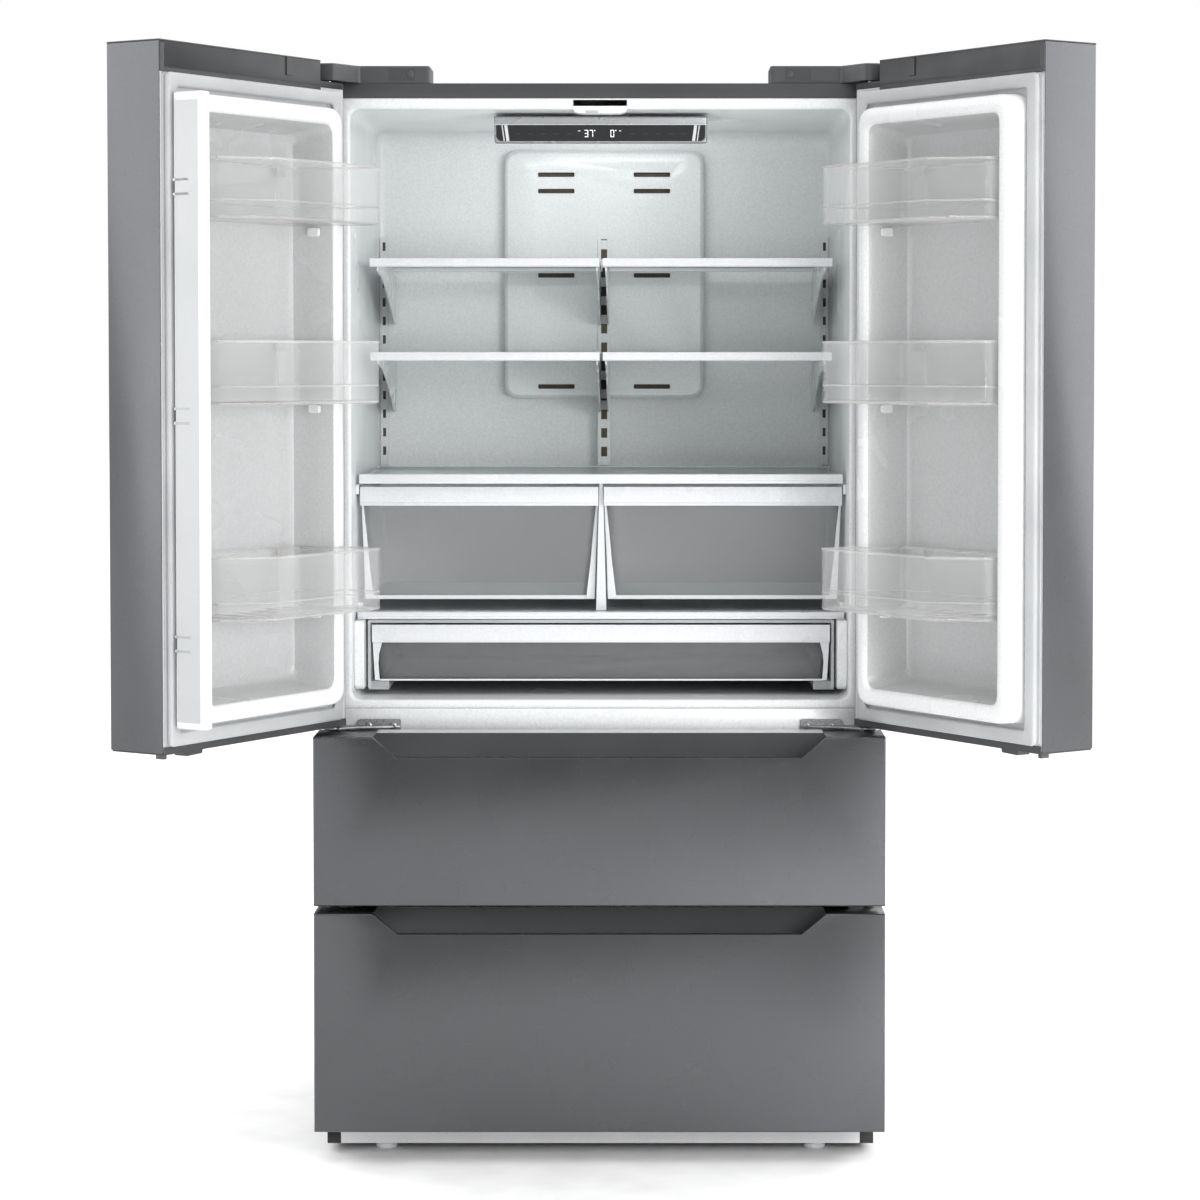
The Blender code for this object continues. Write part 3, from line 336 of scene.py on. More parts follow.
class Shape:
    """A mesh under construction; side -1 mirrors everything drawn in it."""

    def __init__(self, side=1):
        self.bm = bmesh.new()
        self.side = side

    def verts(self, ring):
        return [self.bm.verts.new((self.side * x, y, z)) for x, y, z in ring]

    def face(self, corners, look):
        made = self.bm.faces.new(corners)
        made.material_index = look
        return made

    def loft(self, rings, look=0, looks=None, ends=True, closed=False):
        """Skins ring to ring; looks gives each strip its own material."""
        loops = [self.verts(ring) for ring in rings]
        pairs = list(zip(loops, loops[1:]))
        if closed:
            pairs.append((loops[-1], loops[0]))
        for strip, (low, high) in enumerate(pairs):
            chosen = looks[strip] if looks else look
            for i in range(len(low)):
                j = (i + 1) % len(low)
                self.face((low[i], low[j], high[j], high[i]), chosen)
        if ends and not closed:
            self.face(loops[0], looks[0] if looks else look)
            self.face(loops[-1], looks[-1] if looks else look)
        return self

    def prism(self, axis, outline, start, end, look=0):
        return self.loft([raised(axis, start, outline), raised(axis, end, outline)], look)

    def box(self, x0, x1, y0, y1, z0, z1, look=0):
        return self.prism("Z", rectangle((x0, y0), (x1, y1)), z0, z1, look)

    def round_box(self, axis, low, high, start, end, radius, look=0, soft=0.0):
        outline = softened(rectangle(low, high), radius)
        if not soft:
            return self.prism(axis, outline, start, end, look)
        small = softened(rectangle((low[0] + soft, low[1] + soft), (high[0] - soft, high[1] - soft)), radius)
        edge = math.copysign(soft, end - start)
        levels = ((start, small), (start + edge, outline), (end - edge, outline), (end, small))
        return self.loft([raised(axis, level, ring) for level, ring in levels], look)

    def turn(self, axis, centre, profile, sides=20, look=0):
        """A lathe shape: profile lists (level along axis, radius)."""
        return self.loft([raised(axis, level, circle(centre, r, sides)) for level, r in profile], look)

    def make(self, name, body, looks, bevel=0.0, segments=2, angle=32.0, replaces=()):
        bmesh.ops.recalc_face_normals(self.bm, faces=self.bm.faces)
        mesh = bpy.data.meshes.new(name)
        self.bm.to_mesh(mesh)
        self.bm.free()
        return settle(name, mesh, body, looks, bevel, segments, angle, replaces)


def settle(name, mesh, body, looks, bevel, segments, angle, replaces):
    """Gives a mesh its materials and edges, and puts it on its body."""
    for look in looks:
        mesh.materials.append(LOOKS[look].material)
    mesh.shade_smooth()
    obj = bpy.data.objects.new(name, mesh)
    bpy.context.scene.collection.objects.link(obj)
    obj.matrix_world = SPACES[body]
    if bevel:
        soft = obj.modifiers.new("soft_edges", "BEVEL")
        soft.width = bevel
        soft.segments = segments
        soft.limit_method = "ANGLE"
        soft.angle_limit = math.radians(angle)
        soft.harden_normals = True
        soft.use_clamp_overlap = False
    else:
        mesh.set_sharp_from_angle(angle=math.radians(angle))
    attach(obj, body)
    if replaces:
        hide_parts(*replaces)
    return obj


def refined(node, looks, bevel=0.0, segments=2, pick=None, angle=32.0):
    """A CAD node's own shape with softened edges. pick(centre, normal) chooses a face's look."""
    source = NODES[node]
    body = source["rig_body"]
    bm = bmesh.new()
    bm.from_mesh(source.data)
    bmesh.ops.transform(bm, matrix=SPACES[body].inverted(), verts=bm.verts)
    bmesh.ops.remove_doubles(bm, verts=bm.verts, dist=2e-6)
    flat = math.radians(0.6)
    bmesh.ops.dissolve_limit(bm, angle_limit=flat, verts=bm.verts, edges=bm.edges)
    bmesh.ops.connect_verts_concave(bm, faces=bm.faces)
    bm.normal_update()
    for each in bm.faces:
        each.material_index = pick(each.calc_center_median(), each.normal) if pick else 0
    mesh = bpy.data.meshes.new(node + "_finish")
    bm.to_mesh(mesh)
    bm.free()
    return settle(node + "_finish", mesh, body, looks, bevel, segments, angle, (node,))


def screws(name, body, spots, axis, sense, radius=0.0045, look="zinc"):
    """Domed heads with a cross recess; sense is the way the heads face along the axis."""
    shape = Shape()
    first, second = FLAT_AXES[axis]
    for spot in spots:
        level = spot["XYZ".index(axis)]
        centre = (spot[first], spot[second])
        dome = [(0.0, 1.0), (0.35, 0.98), (0.6, 0.8), (0.66, 0.62)]
        profile = [(level + sense * radius * lift, radius * wide) for lift, wide in dome]
        shape.turn(axis, centre, profile, 16)
        for long, short in ((0.48, 0.1), (0.1, 0.48)):
            low = (centre[0] - radius * long, centre[1] - radius * short)
            high = (centre[0] + radius * long, centre[1] + radius * short)
            top = level + sense * radius * 0.67
            shape.prism(axis, rectangle(low, high), top, top + sense * 0.0001, 1)
    return shape.make(name, body, (look, "black_plastic"), angle=40)


# ---------------------------------------------------------------- cabinet


def cabinet():
    refined("cabinet_shell", ("paint",), 0.0007)
    refined("back_panel", ("zinc",), 0.0005)
    refined("machine_room_cover", ("black_plastic",))
    refined("base_tray", ("black_plastic",))
    refined("toe_kick", ("foot_grey",), 0.0004)
    refined("centre_rail", ("white_liner",), 0.0012)
    refined("freezer_liner", ("white_liner",))
    refined("insulation_foam", ("foam",))
    for word, _ in SIDES:
        refined(f"upper_hinge_{word}", ("satin_steel",), 0.0003)
        refined(f"lower_hinge_{word}", ("hinge_steel",), 0.0003)
        refined(f"front_foot_{word}_screw", ("foot_grey",), 0.0006)
        refined(f"rear_roller_{word}_wheel", ("black_plastic",), 0.0006)
    spots = [(x, REAR_COVER, 0.296) for x in (-0.425, -0.21, 0.0, 0.21, 0.425)]
    spots += [(x, REAR_COVER, 0.062) for x in (-0.425, 0.0, 0.425)]
    screws("rear_cover_screws", "cabinet", spots, "Y", 1, 0.0034)
    spots = [(x, REAR_PANEL, z) for x in (-0.436, 0.436) for z in (0.42, 0.85, 1.28, 1.7)]
    screws("rear_panel_screws", "cabinet", spots, "Y", 1, 0.004)
    for word, side in SIDES:
        outline = [(0.3254, 0.6805), (0.3953, 0.6805), (0.3953, 0.695), (0.39, 0.7004), (0.3254, 0.7004)]
        shape = Shape(side).prism("Y", softened(outline, 0.0012, 2), 0.1131, 0.1148)
        shape.make(f"lower_hinge_plate_{word}", "cabinet", ("hinge_steel",), 0.0003)
    spots = [(side * x, 0.1131, 0.6898) for _, side in SIDES for x in (0.3356, 0.3756)]
    screws("lower_hinge_screws", "cabinet", spots, "Y", -1, 0.0055, "satin_steel")
    places = ((0.305, 0.145), (0.305, 0.18), (0.37, 0.16))
    spots = [(side * x, y, 1.7333) for _, side in SIDES for x, y in places]
    screws("upper_hinge_screws", "cabinet", spots, "Z", 1, 0.0055, "satin_steel")


def hinge_covers():
    """A moulded cover with a framed top, a seam across its nose and a round plug."""
    outline = [(0.2746, 0.1185), (0.3892, 0.1185), (0.4244, 0.069), (0.448, 0.0715), (0.4545, 0.085)]
    outline += [(0.4545, 0.115), (0.4465, 0.125), (0.4465, 0.15), (0.3892, 0.205), (0.2746, 0.205)]
    for word, side in SIDES:
        shape = Shape(side)
        levels = ((1.7301, 0.0), (1.756, 0.0), (1.7576, 0.0016), (1.7576, 0.006), (1.7566, 0.0068))
        rings = [raised("Z", level, softened(inset(outline, depth), 0.004, 3)) for level, depth in levels]
        shape.loft(rings)
        shape.prism("Y", softened(rectangle((0.28, 1.7325), (0.386, 1.755)), 0.003), 0.119, 0.1178)
        shape.prism("Y", softened(rectangle((0.299, 1.7345), (0.34, 1.753)), 0.002), 0.1182, 0.1172, 1)
        shape.turn("Y", (0.306, 1.744), [(0.1182, 0.006), (0.1166, 0.0058), (0.116, 0.0048)], 20)
        seam = [(0.3915, 0.1148), (0.3925, 0.1138), (0.396, 0.2), (0.395, 0.2)]
        shape.prism("Z", seam, 1.756, 1.7579, 1)
        shape.make(
            f"hinge_cover_{word}_finish", "cabinet", ("dark_plastic", "pull_lining_and_shade"), 0.0005,
            replaces=(f"hinge_cover_{word}",),
        )


def liner_ring(level, half, foot, top, radius):
    return raised("Y", level, softened(rectangle((-half, foot), (half, top)), radius, 8))


def fridge_liner():
    """The moulded lining with a rolled mouth, soft corners and a fillet round its back wall."""
    rings = [
        liner_ring(0.6285, 0.4065, 0.7285, 1.6905, 0.018),
        liner_ring(0.1208, 0.4065, 0.7285, 1.6905, 0.018),
        liner_ring(0.1208, 0.4285, 0.718, 1.7052, 0.002),
        liner_ring(0.1186, 0.4285, 0.718, 1.7052, 0.002),
        liner_ring(FACE, 0.4278, 0.7187, 1.7045, 0.002),
        liner_ring(FACE, 0.409, 0.726, 1.693, 0.016),
        liner_ring(0.1186, 0.406, 0.729, 1.69, 0.017),
        liner_ring(0.1206, 0.404, 0.7308, 1.688, 0.018),
        liner_ring(0.124, 0.4036, 0.7312, 1.6876, 0.018),
    ]
    fillet = 0.024
    for step in range(6):
        bend = math.radians(90 * step / 5)
        draw = fillet * (1 - math.cos(bend))
        level = 0.626 - fillet * (1 - math.sin(bend))
        rings.append(liner_ring(level, 0.403 - draw * 0.3, 0.7315 + draw * 0.4, 1.687 - draw, 0.02))
    shape = Shape().loft(rings)
    shape.make("fridge_liner_finish", "cabinet", ("white_liner",), angle=50, replaces=("fridge_liner",))


# ---------------------------------------------------------------- fresh food compartment


def control_panel():
    """A silver console with a dark glass face, lamp windows at its ends and plain digits."""

    def face(level):
        return 0.185 + (1.6812 - level) * 0.0905

    shape = Shape()
    section = [(0.1862, 1.6812), (0.185, 1.679), (0.1862, 1.669), (0.1905, 1.6395), (0.194, 1.6375)]
    section += [(0.296, 1.6485), (0.302, 1.652), (0.318, 1.6812)]
    half = ((0.169, 1.0), (0.1728, 0.985), (0.1745, 0.92))
    stations = [(-x, grow) for x, grow in half[::-1]] + list(half)
    middle = Vector((0.245, 1.6812))
    rings = []
    for x, grow in stations:
        rings.append([(x, *(middle + (Vector(p) - middle) * grow)) for p in section])
    shape.loft(rings)
    shape.box(-0.1735, 0.1735, 0.1848, 0.187, 1.6676, 1.669, 1)

    def plate(reach, foot, corner, lift, look):
        outline = [(-reach, 1.6676), (reach, 1.6676)]
        for step in range(6):
            bend = math.radians(90 * step / 5)
            x = reach - corner + corner * math.cos(bend)
            outline.append((x, foot + corner - corner * math.sin(bend)))
        outline += [(-x, z) for x, z in outline[:1:-1]]
        rings = [[(x, face(z) + depth, z) for x, z in outline] for depth in (0.004, -lift)]
        shape.loft(rings, look)

    plate(0.1732, 1.6392, 0.01, 0.0004, 0)
    plate(0.1712, 1.6412, 0.009, 0.0009, 2)
    for side in (-1, 1):
        for near, far, shade in ((0.153, 0.158, 1), (0.1605, 0.1625, 3)):
            low = [(side * (near - 0.0035), 1.6415), (side * (far - 0.0035), 1.6415)]
            high = [(side * far, 1.6672), (side * near, 1.6672)]
            outline = low + high
            rings = [[(x, face(z) - lift, z) for x, z in outline] for lift in (0.0008, 0.0011)]
            shape.loft(rings, shade)
    shape.make(
        "control_panel_finish", "cabinet", ("console_silver", "white_trim", "gloss_black", "silver_trim"),
        0.0004, replaces=("control_panel",),
    )
    digits(face)


SEGMENTS = {"0": "abcdef", "3": "abcdg", "7": "abc"}


def digits(face):
    """Generic seven-segment figures, degree marks and small key marks."""
    shape = Shape()
    high, wide, line = 0.0115, 0.006, 0.0011

    def bar(x0, x1, z0, z1, look=0):
        middle, outline = face((z0 + z1) / 2), rectangle((x0, z0), (x1, z1))
        rings = [raised("Y", middle - lift, outline) for lift in (0.0008, 0.0012)]
        shape.loft(rings, look)

    def figure(text, left, foot):
        middle, top, right = foot + high / 2, foot + high, left + wide
        gap = 0.0003
        places = {
            "a": (left + gap, right - gap, top - line, top),
            "b": (right - line, right, middle + gap, top - gap),
            "c": (right - line, right, foot + gap, middle - gap),
            "d": (left + gap, right - gap, foot, foot + line),
            "e": (left, left + line, foot + gap, middle - gap),
            "f": (left, left + line, middle + gap, top - gap),
            "g": (left + gap, right - gap, middle - line / 2, middle + line / 2),
        }
        for segment in SEGMENTS[text]:
            bar(*places[segment])

    figure("3", -0.0265, 1.648)
    figure("7", -0.0185, 1.648)
    figure("0", 0.016, 1.648)
    for x in (-0.0105, 0.024):
        bar(x, x + 0.0016, 1.6577, 1.6593)
    for x in (-0.037, 0.03):
        bar(x, x + 0.0036, 1.6575, 1.6583)
    for side in (-1, 1):
        for step in range(5):
            x = side * (0.052 + 0.021 * step)
            bar(x - 0.0045, x + 0.0045, 1.6528, 1.6534, 1)
    shape.make("display_marks", "cabinet", ("display", "pull_lining_and_shade"))


def guide_block():
    """The block over the mullion's end, with rounded lower corners and a cam groove drawn as a flat grey
    patch of painted shade.
    """
    outline = [(-0.044, 1.7034), (-0.044, 1.688), (-0.0415, 1.684), (-0.033, 1.6815), (-0.024, 1.6811)]
    outline += [(0.033, 1.6811), (0.0415, 1.684), (0.044, 1.688), (0.044, 1.7034)]
    shape = Shape()
    shape.prism("Y", outline, 0.118, 0.1212)
    shape.prism("Y", outline[1:-1], 0.1212, 0.15)
    # The cam groove is a thin proud patch in grey: its grey is painted shade standing for the groove's
    # depth.
    shape.box(-0.024, -0.003, 0.1178, 0.119, 1.6812, 1.6862, 1)
    shape.make(
        "flipper_guide_finish", "cabinet", ("door_liner", "gasket"), 0.0006, replaces=("flipper_guide",)
    )


def duct():
    refined("air_duct_cover", ("white_liner",), 0.0008, 2)
    shape = Shape()
    # A near-black sheet behind the cover's slots: painted shade standing in for the dark space seen through
    # them.
    shape.box(-0.165, 0.165, 0.6095, 0.6115, 1.224, 1.645)
    shape.make("duct_slot_shade_sheet", "cabinet", ("slot_shadow",))
    shape = Shape()
    for level in (1.611, 1.582, 1.433, 1.236):
        for side in (-1, 1):
            low, high = sorted((side * 0.0505, side * 0.119))
            outer = softened(rectangle((low, level - 0.006), (high, level + 0.006)), 0.003)
            inner = rectangle((low + 0.002, level - 0.004), (high - 0.002, level + 0.004))
            inner = softened(inner, 0.002)
            rings = [raised("Y", y, ring) for y, ring in ((0.6004, outer), (0.5998, outer), (0.5998, inner))]
            rings.append(raised("Y", 0.606, inner))
            shape.loft(rings, ends=False)
    shape.make("duct_slot_rims", "cabinet", ("white_liner",))


def track(name, low, high, front, back, foot, top, slot, side=1):
    """A rail with a ladder of slots whose bottoms are dark."""
    shape = Shape(side)
    middle = (low + high) / 2
    reach = slot[0] / 2
    shape.box(low, middle - reach, front, back, foot, top)
    shape.box(middle + reach, high, front, back, foot, top)
    shape.box(middle - reach, middle + reach, front + 0.0022, back, foot, top, 1)
    level = foot
    while level < top - 0.001:
        end = min(level + TRACK_PITCH - slot[1], top)
        shape.box(middle - reach, middle + reach, front, back, level, end)
        level += TRACK_PITCH
    shape.make(name, "cabinet", ("white_liner", "slot_shadow"), 0.0004, 1)


def tracks():
    slot = (0.0105, 0.017)
    track("centre_track_upper", -0.011, 0.011, 0.5966, 0.6002, 1.215, 1.497, slot)
    track("centre_track_lower", -0.011, 0.011, 0.5966, 0.6255, 1.096, 1.2148, slot)
    slot = (0.0052, 0.015)
    for word, side in SIDES:
        track(f"side_track_{word}", 0.3845, 0.399, 0.6195, 0.6256, 1.096, 1.5, slot, side)


def half_shelves():
    """Glass in pale trims on two arms, with the trims' front edge rolled."""

    def pick(front, top):
        def chosen(centre, normal):
            between = front + 0.0242 < centre.y < 0.5758 and centre.z > top - 0.0062
            return 1 if between and abs(normal.z) > 0.9 else 0

        return chosen

    for level, front, top in (("top", 0.215, 1.451), ("middle", 0.2265, 1.296)):
        for word, side in SIDES:
            chosen = pick(front, top)
            refined(f"{level}_shelf_{word}", ("white_trim", "glass"), 0.0004, 2, chosen)
            shape = Shape(side)
            lip = [(front - 0.0012, top - 0.0125), (front + 0.0004, top - 0.014)]
            lip.append((front + 0.0004, top - 0.0105))
            shape.prism("X", lip, 0.0045, 0.3797)
            shape.box(0.005, 0.379, front + 0.024, front + 0.0262, top - 0.0058, top - 0.0012, 1)
            for x in (0.0105, 0.3695):
                shape.box(x - 0.0008, x + 0.0008, 0.3, 0.56, top - 0.011, top - 0.0064)
            shape.make(f"{level}_shelf_{word}_lip", "cabinet", ("white_trim", "glass_edge"), 0.0004, 1)


def cover_shelves():
    for name, front, top, thick in (
        ("crisper_cover_shelf", 0.19, 1.095, 0.015),
        ("deli_cover_shelf", 0.18, 0.8687, 0.0111),
    ):

        def pick(centre, normal, front=front, top=top):
            between = front + 0.0262 < centre.y < 0.5678 and centre.z > top - 0.0062
            return 1 if between and abs(normal.z) > 0.9 else 0

        pane = "frosted" if name.startswith("deli") else "glass"
        refined(name, ("white_trim", pane), 0.0004, 2, pick)
        half = 0.395
        shape = Shape()
        shape.box(-half, half, front + 0.0262, front + 0.0285, top - 0.0058, top - 0.0012, 1)
        shape.box(-half, half, front - 0.0006, front + 0.001, top - thick * 0.72, top - thick * 0.6)
        shape.make(name + "_edge", "cabinet", ("white_trim", "glass_edge"), 0.0002, 1)


def crispers():
    """Clear bins with white pull panels, a wedge between them and runners at their sides."""

    def pick(centre, normal):
        if centre.z > 1.042 and centre.y < 0.228:
            return 0
        return 2 if centre.z < 0.8903 else 1

    for word, side in SIDES:
        refined(f"crisper_{word}_bin", ("white_trim", "crisper_clear", "frosted"), 0.0004, 2, pick)
        shape = Shape(side)
        shape.box(0.006, 0.396, 0.2018, 0.2032, 1.0455, 1.048)
        shape.box(0.011, 0.39, 0.2242, 0.2275, 0.887, 0.8935)
        for near, toward in ((0.0052, 1), (0.3968, -1)):
            reach = [(0.0, 1.0425), (0.0035, 1.0425), (0.0075, 1.005), (0.0125, 0.95), (0.02, 0.8875)]
            outline = [(near + toward * a, z) for a, z in reach + [(0.0055, 0.8875), (0.004, 0.95)]]
            shape.prism("Y", outline, 0.2226, 0.2256)
        shape.make(f"crisper_{word}_frame", f"crisper_{word}", ("white_trim",), 0.0006)
    shape = Shape()
    wedge = [(-0.003, 1.0795), (0.003, 1.0795), (0.0085, 0.869), (-0.0085, 0.869)]
    shape.prism("Y", wedge, 0.212, 0.57)
    shape.make("crisper_divider", "cabinet", ("white_trim",), 0.0006)
    for word, side in SIDES:
        shape = Shape(side)
        shape.box(0.3988, 0.4034, 0.195, 0.59, 1.062, 1.078)
        shape.box(0.395, 0.4034, 0.22, 0.59, 0.87, 0.882)
        shape.make(f"crisper_runner_{word}", "cabinet", ("white_liner",), 0.001)


def deli():
    def pick(centre, normal):
        if centre.z > 0.818 and centre.y < 0.187:
            return 0
        if centre.z < 0.76:
            return 2
        return 1 if abs(normal.y) > 0.6 and centre.y < 0.2 else 2

    # The tray's walls and floor take the near-black tub look: painted shade for its shadowed inside.
    refined("deli_drawer_tray", ("white_trim", "crisper_clear", "deli_tub_painted_shade"), 0.0004, 2, pick)
    shape = Shape()
    shape.box(-0.3755, 0.3755, 0.178, 0.1794, 0.82, 0.822)
    shape.box(-0.364, 0.364, 0.1836, 0.1875, 0.7556, 0.7585)
    for side in (-1, 1):
        reach = [(0.3755, 0.8195), (0.36, 0.8195), (0.365, 0.8), (0.3662, 0.785), (0.364, 0.7565)]
        outline = [(side * x, z) for x, z in reach + [(0.372, 0.7565), (0.374, 0.79)]]
        shape.prism("Y", outline, 0.1832, 0.1848)
    shape.make("deli_drawer_lip", "deli_drawer", ("white_trim",), 0.0004)
    for word, side in SIDES:
        shape = Shape(side)
        pad = [(0.149, 0.857), (0.149, 0.762), (0.153, 0.75), (0.163, 0.744), (0.58, 0.744)]
        pad += [(0.58, 0.857)]
        shape.prism("X", pad, 0.3868, 0.4036)
        shape.make(f"deli_side_pad_{word}", "cabinet", ("door_liner",), 0.003, 3)
        shape = Shape(side)
        shape.box(0.3788, 0.3836, 0.183, 0.57, 0.744, 0.8555)
        shape.box(0.35, 0.3836, 0.193, 0.57, 0.74, 0.754)
        shape.make(f"deli_runner_{word}", "cabinet", ("frosted",), 0.0008)
    shape = Shape()
    shape.box(-0.3836, 0.3836, 0.186, 0.192, 0.8505, 0.856)
    shape.make("deli_frame_top", "cabinet", ("gasket",), 0.0006)


# ---------------------------------------------------------------- doors


def door_caps(word, side, body):
    refined(f"{word}_door_skin", ("dark_steel",), 0.00045)
    refined(f"{word}_door_cap", ("cap_plastic",), 0.0005)
    shape = Shape(side)
    shape.box(0.004, 0.392, 0.1038, 0.1052, 1.712, 1.7178)
    shape.box(0.0023, 0.011, 0.1036, 0.106, 1.712, 1.754)
    shape.box(0.305, 0.3062, 0.1036, 0.1052, 1.73, 1.759, 1)
    shape.box(0.305, 0.319, 0.1036, 0.105, 1.729, 1.7302, 1)
    shape.box(0.0075, 0.45, 0.1036, 0.1046, 1.7178, 1.7192, 1)
    shape.make(f"{word}_cap_lip", body, ("cap_plastic", "black_plastic"), 0.0004)
    shape = Shape(side)
    low, high = (0.003, 0.002), (0.4528, 0.1046)
    shape.round_box("Z", low, high, 0.6944, 0.6922, 0.004, 0, 0.0006)
    shape.box(0.003, 0.4528, 0.1036, 0.1054, 0.6924, 0.7042)
    block = [(0.056, 0.6926), (0.096, 0.6926), (0.094, 0.6862), (0.0585, 0.6852)]
    shape.prism("Y", block, 0.079, 0.103)
    shape.box(0.004, 0.012, 0.088, 0.103, 0.6862, 0.6926)
    plug = [(0.6926, 0.022), (0.6884, 0.0215), (0.6868, 0.019), (0.6864, 0.015)]
    shape.turn("Z", (0.39, 0.045), plug, 28)
    shape.make(f"{word}_door_foot_cap", body, ("dark_plastic",), 0.0006)


def liner_panel(word, side, body):
    """The moulded inner face: flat border, raised rim and a deep recess with rounded ends; the recess walls
    and floor are darkened with painted shade.
    """
    base, proud = PANEL - 0.0008, PANEL + 0.042
    border = (DOOR_INNER + 0.0015, DOOR_BOTTOM + 0.0015, DOOR_OUTER - 0.0015, 1.7167)

    def ring(level, x0, z0, x1, z1, radius):
        return raised("Y", level, softened(rectangle((x0, z0), (x1, z1)), radius, 7))

    rings = [
        ring(0.0015, *border, 0.002),
        ring(base, *border, 0.002),
        ring(base, 0.0318, 0.733, 0.4015, 1.6835, 0.03),
        ring(base + 0.003, 0.033, 0.7342, 0.4003, 1.6823, 0.03),
        ring(proud - 0.01, 0.0341, 0.7353, 0.3992, 1.6812, 0.03),
        ring(proud - 0.0045, 0.0352, 0.7365, 0.398, 1.68, 0.029),
        ring(proud - 0.0012, 0.038, 0.7393, 0.3953, 1.6772, 0.027),
        ring(proud, 0.042, 0.7435, 0.3915, 1.6732, 0.025),
        ring(proud, 0.0545, 0.7565, 0.38, 1.66, 0.021),
        ring(proud - 0.0012, 0.0578, 0.76, 0.3766, 1.6566, 0.02),
        ring(proud - 0.005, 0.06, 0.7625, 0.3742, 1.6542, 0.02),
        ring(0.1, 0.0655, 0.769, 0.369, 1.647, 0.02),
        ring(0.079, 0.0688, 0.7735, 0.3652, 1.642, 0.022),
        ring(0.071, 0.0712, 0.7765, 0.3626, 1.6388, 0.024),
        ring(0.0685, 0.076, 0.781, 0.358, 1.634, 0.024),
        ring(0.068, 0.083, 0.788, 0.351, 1.627, 0.024),
    ]
    shape = Shape(side)
    # The rim's inner slope, the recess walls and the recess floor take look 2: the white moulding darkened
    # with painted shade.
    shape.loft(rings, looks=[1, 1] + [0] * 8 + [2] * (len(rings) - 11))
    for _, foot, _ in BINS:
        for x in (0.0688, 0.3652):
            inward = 1 if x < 0.2 else -1
            low, high = sorted((x - inward * 0.004, x + inward * 0.0022))
            shape.round_box("X", (0.1, foot - 0.016), (0.12, foot - 0.003), low, high, 0.004)
    if word == "left":
        for level in LEAF_LEVELS:
            foot, top = level - 0.0065, level + 0.0065
            shape.box(0.0172, 0.038, MULLION.y - 0.0035, MULLION.y + 0.0035, foot, top, 1)
            shape.turn("Z", (-MULLION.x, MULLION.y), [(foot, 0.0046), (top, 0.0046)], 18, 1)
    looks = ("door_liner", "flange_grey", "recess_painted_shade")
    shape.make(f"{word}_door_liner_finish", body, looks, angle=40, replaces=(f"{word}_door_liner",))


def seal(name, body, side, outer, inner, base, thick, replaces=()):
    """A magnetic seal: a flat foot, a bellows neck and a round-shouldered face."""
    section = [
        (0.0, base),
        (0.0, base + 0.0022),
        (0.18, base + 0.003),
        (0.22, base + 0.0046),
        (0.06, base + 0.0062),
        (0.02, thick - 0.003),
        (0.08, thick - 0.0008),
        (0.2, thick),
        (0.8, thick),
        (0.92, thick - 0.001),
        (0.97, thick - 0.0034),
        (0.78, base + 0.005),
        (0.94, base + 0.0026),
        (1.0, base + 0.002),
        (1.0, base),
    ]
    rings = []
    for part, level in section:
        low = tuple(a + (b - a) * part for a, b in zip(outer[:2], inner[:2]))
        high = tuple(a + (b - a) * part for a, b in zip(outer[2:], inner[2:]))
        rings.append(raised("Y", level, softened(rectangle(low, high), 0.008, 5)))
    Shape(side).loft(rings, closed=True).make(name, body, ("gasket",), angle=60, replaces=replaces)


def bin_outline():
    return [
        (0.0695, PANEL - 0.025),
        (0.3645, PANEL - 0.025),
        (0.366, PANEL + 0.044),
        (0.3983, PANEL + 0.044),
        (0.3983, PANEL + 0.109),
        (0.3923, PANEL + 0.115),
        (0.1383, PANEL + 0.115),
        (0.0663, PANEL + 0.058),
    ]


def door_bin(word, side, body, level, foot, top):
    """A clear moulded bin: thick rim, a bead near its foot and ribs along its floor."""
    outline = bin_outline()

    def ring(height, depth, soft=0.006):
        return raised("Z", height, softened(inset(outline, depth), soft, 4))

    rings = [
        ring(foot, 0.004),
        ring(foot + 0.0012, 0.0012),
        ring(foot + 0.004, 0.0002),
        ring(foot + 0.027, 0.0004),
        ring(foot + 0.0276, -0.0003),
        ring(foot + 0.029, -0.0003),
        ring(foot + 0.0296, 0.0004),
        ring(top - 0.004, 0.0002),
        ring(top - 0.003, -0.0006),
        ring(top - 0.0004, -0.0006),
        ring(top, 0.0004),
        ring(top, 0.0022),
        ring(top - 0.0008, 0.0027),
        ring(foot + 0.006, 0.0032),
        ring(foot + 0.0032, 0.0055),
    ]
    looks = [1, 1, 0, 1, 1, 1, 0, 1, 1, 1, 1, 1, 0, 0]
    shape = Shape(side)
    shape.loft(rings, looks=looks)
    for step in range(7):
        x = 0.105 + step * 0.042
        shape.box(x - 0.0008, x + 0.0008, PANEL - 0.018, PANEL + 0.098, foot + 0.003, foot + 0.0046, 1)
    hook = [(PANEL - 0.0265, top - 0.012), (PANEL - 0.0265, top - 0.001), (PANEL - 0.023, top - 0.001)]
    hook.append((PANEL - 0.023, top - 0.016))
    for x in (0.11, 0.32):
        shape.prism("X", hook, x - 0.012, x + 0.012, 1)
    shape.make(
        f"{word}_bin_{level}_finish", body, ("clear_bin", "bin_edge"), angle=35,
        replaces=(f"{word}_bin_{level}",),
    )


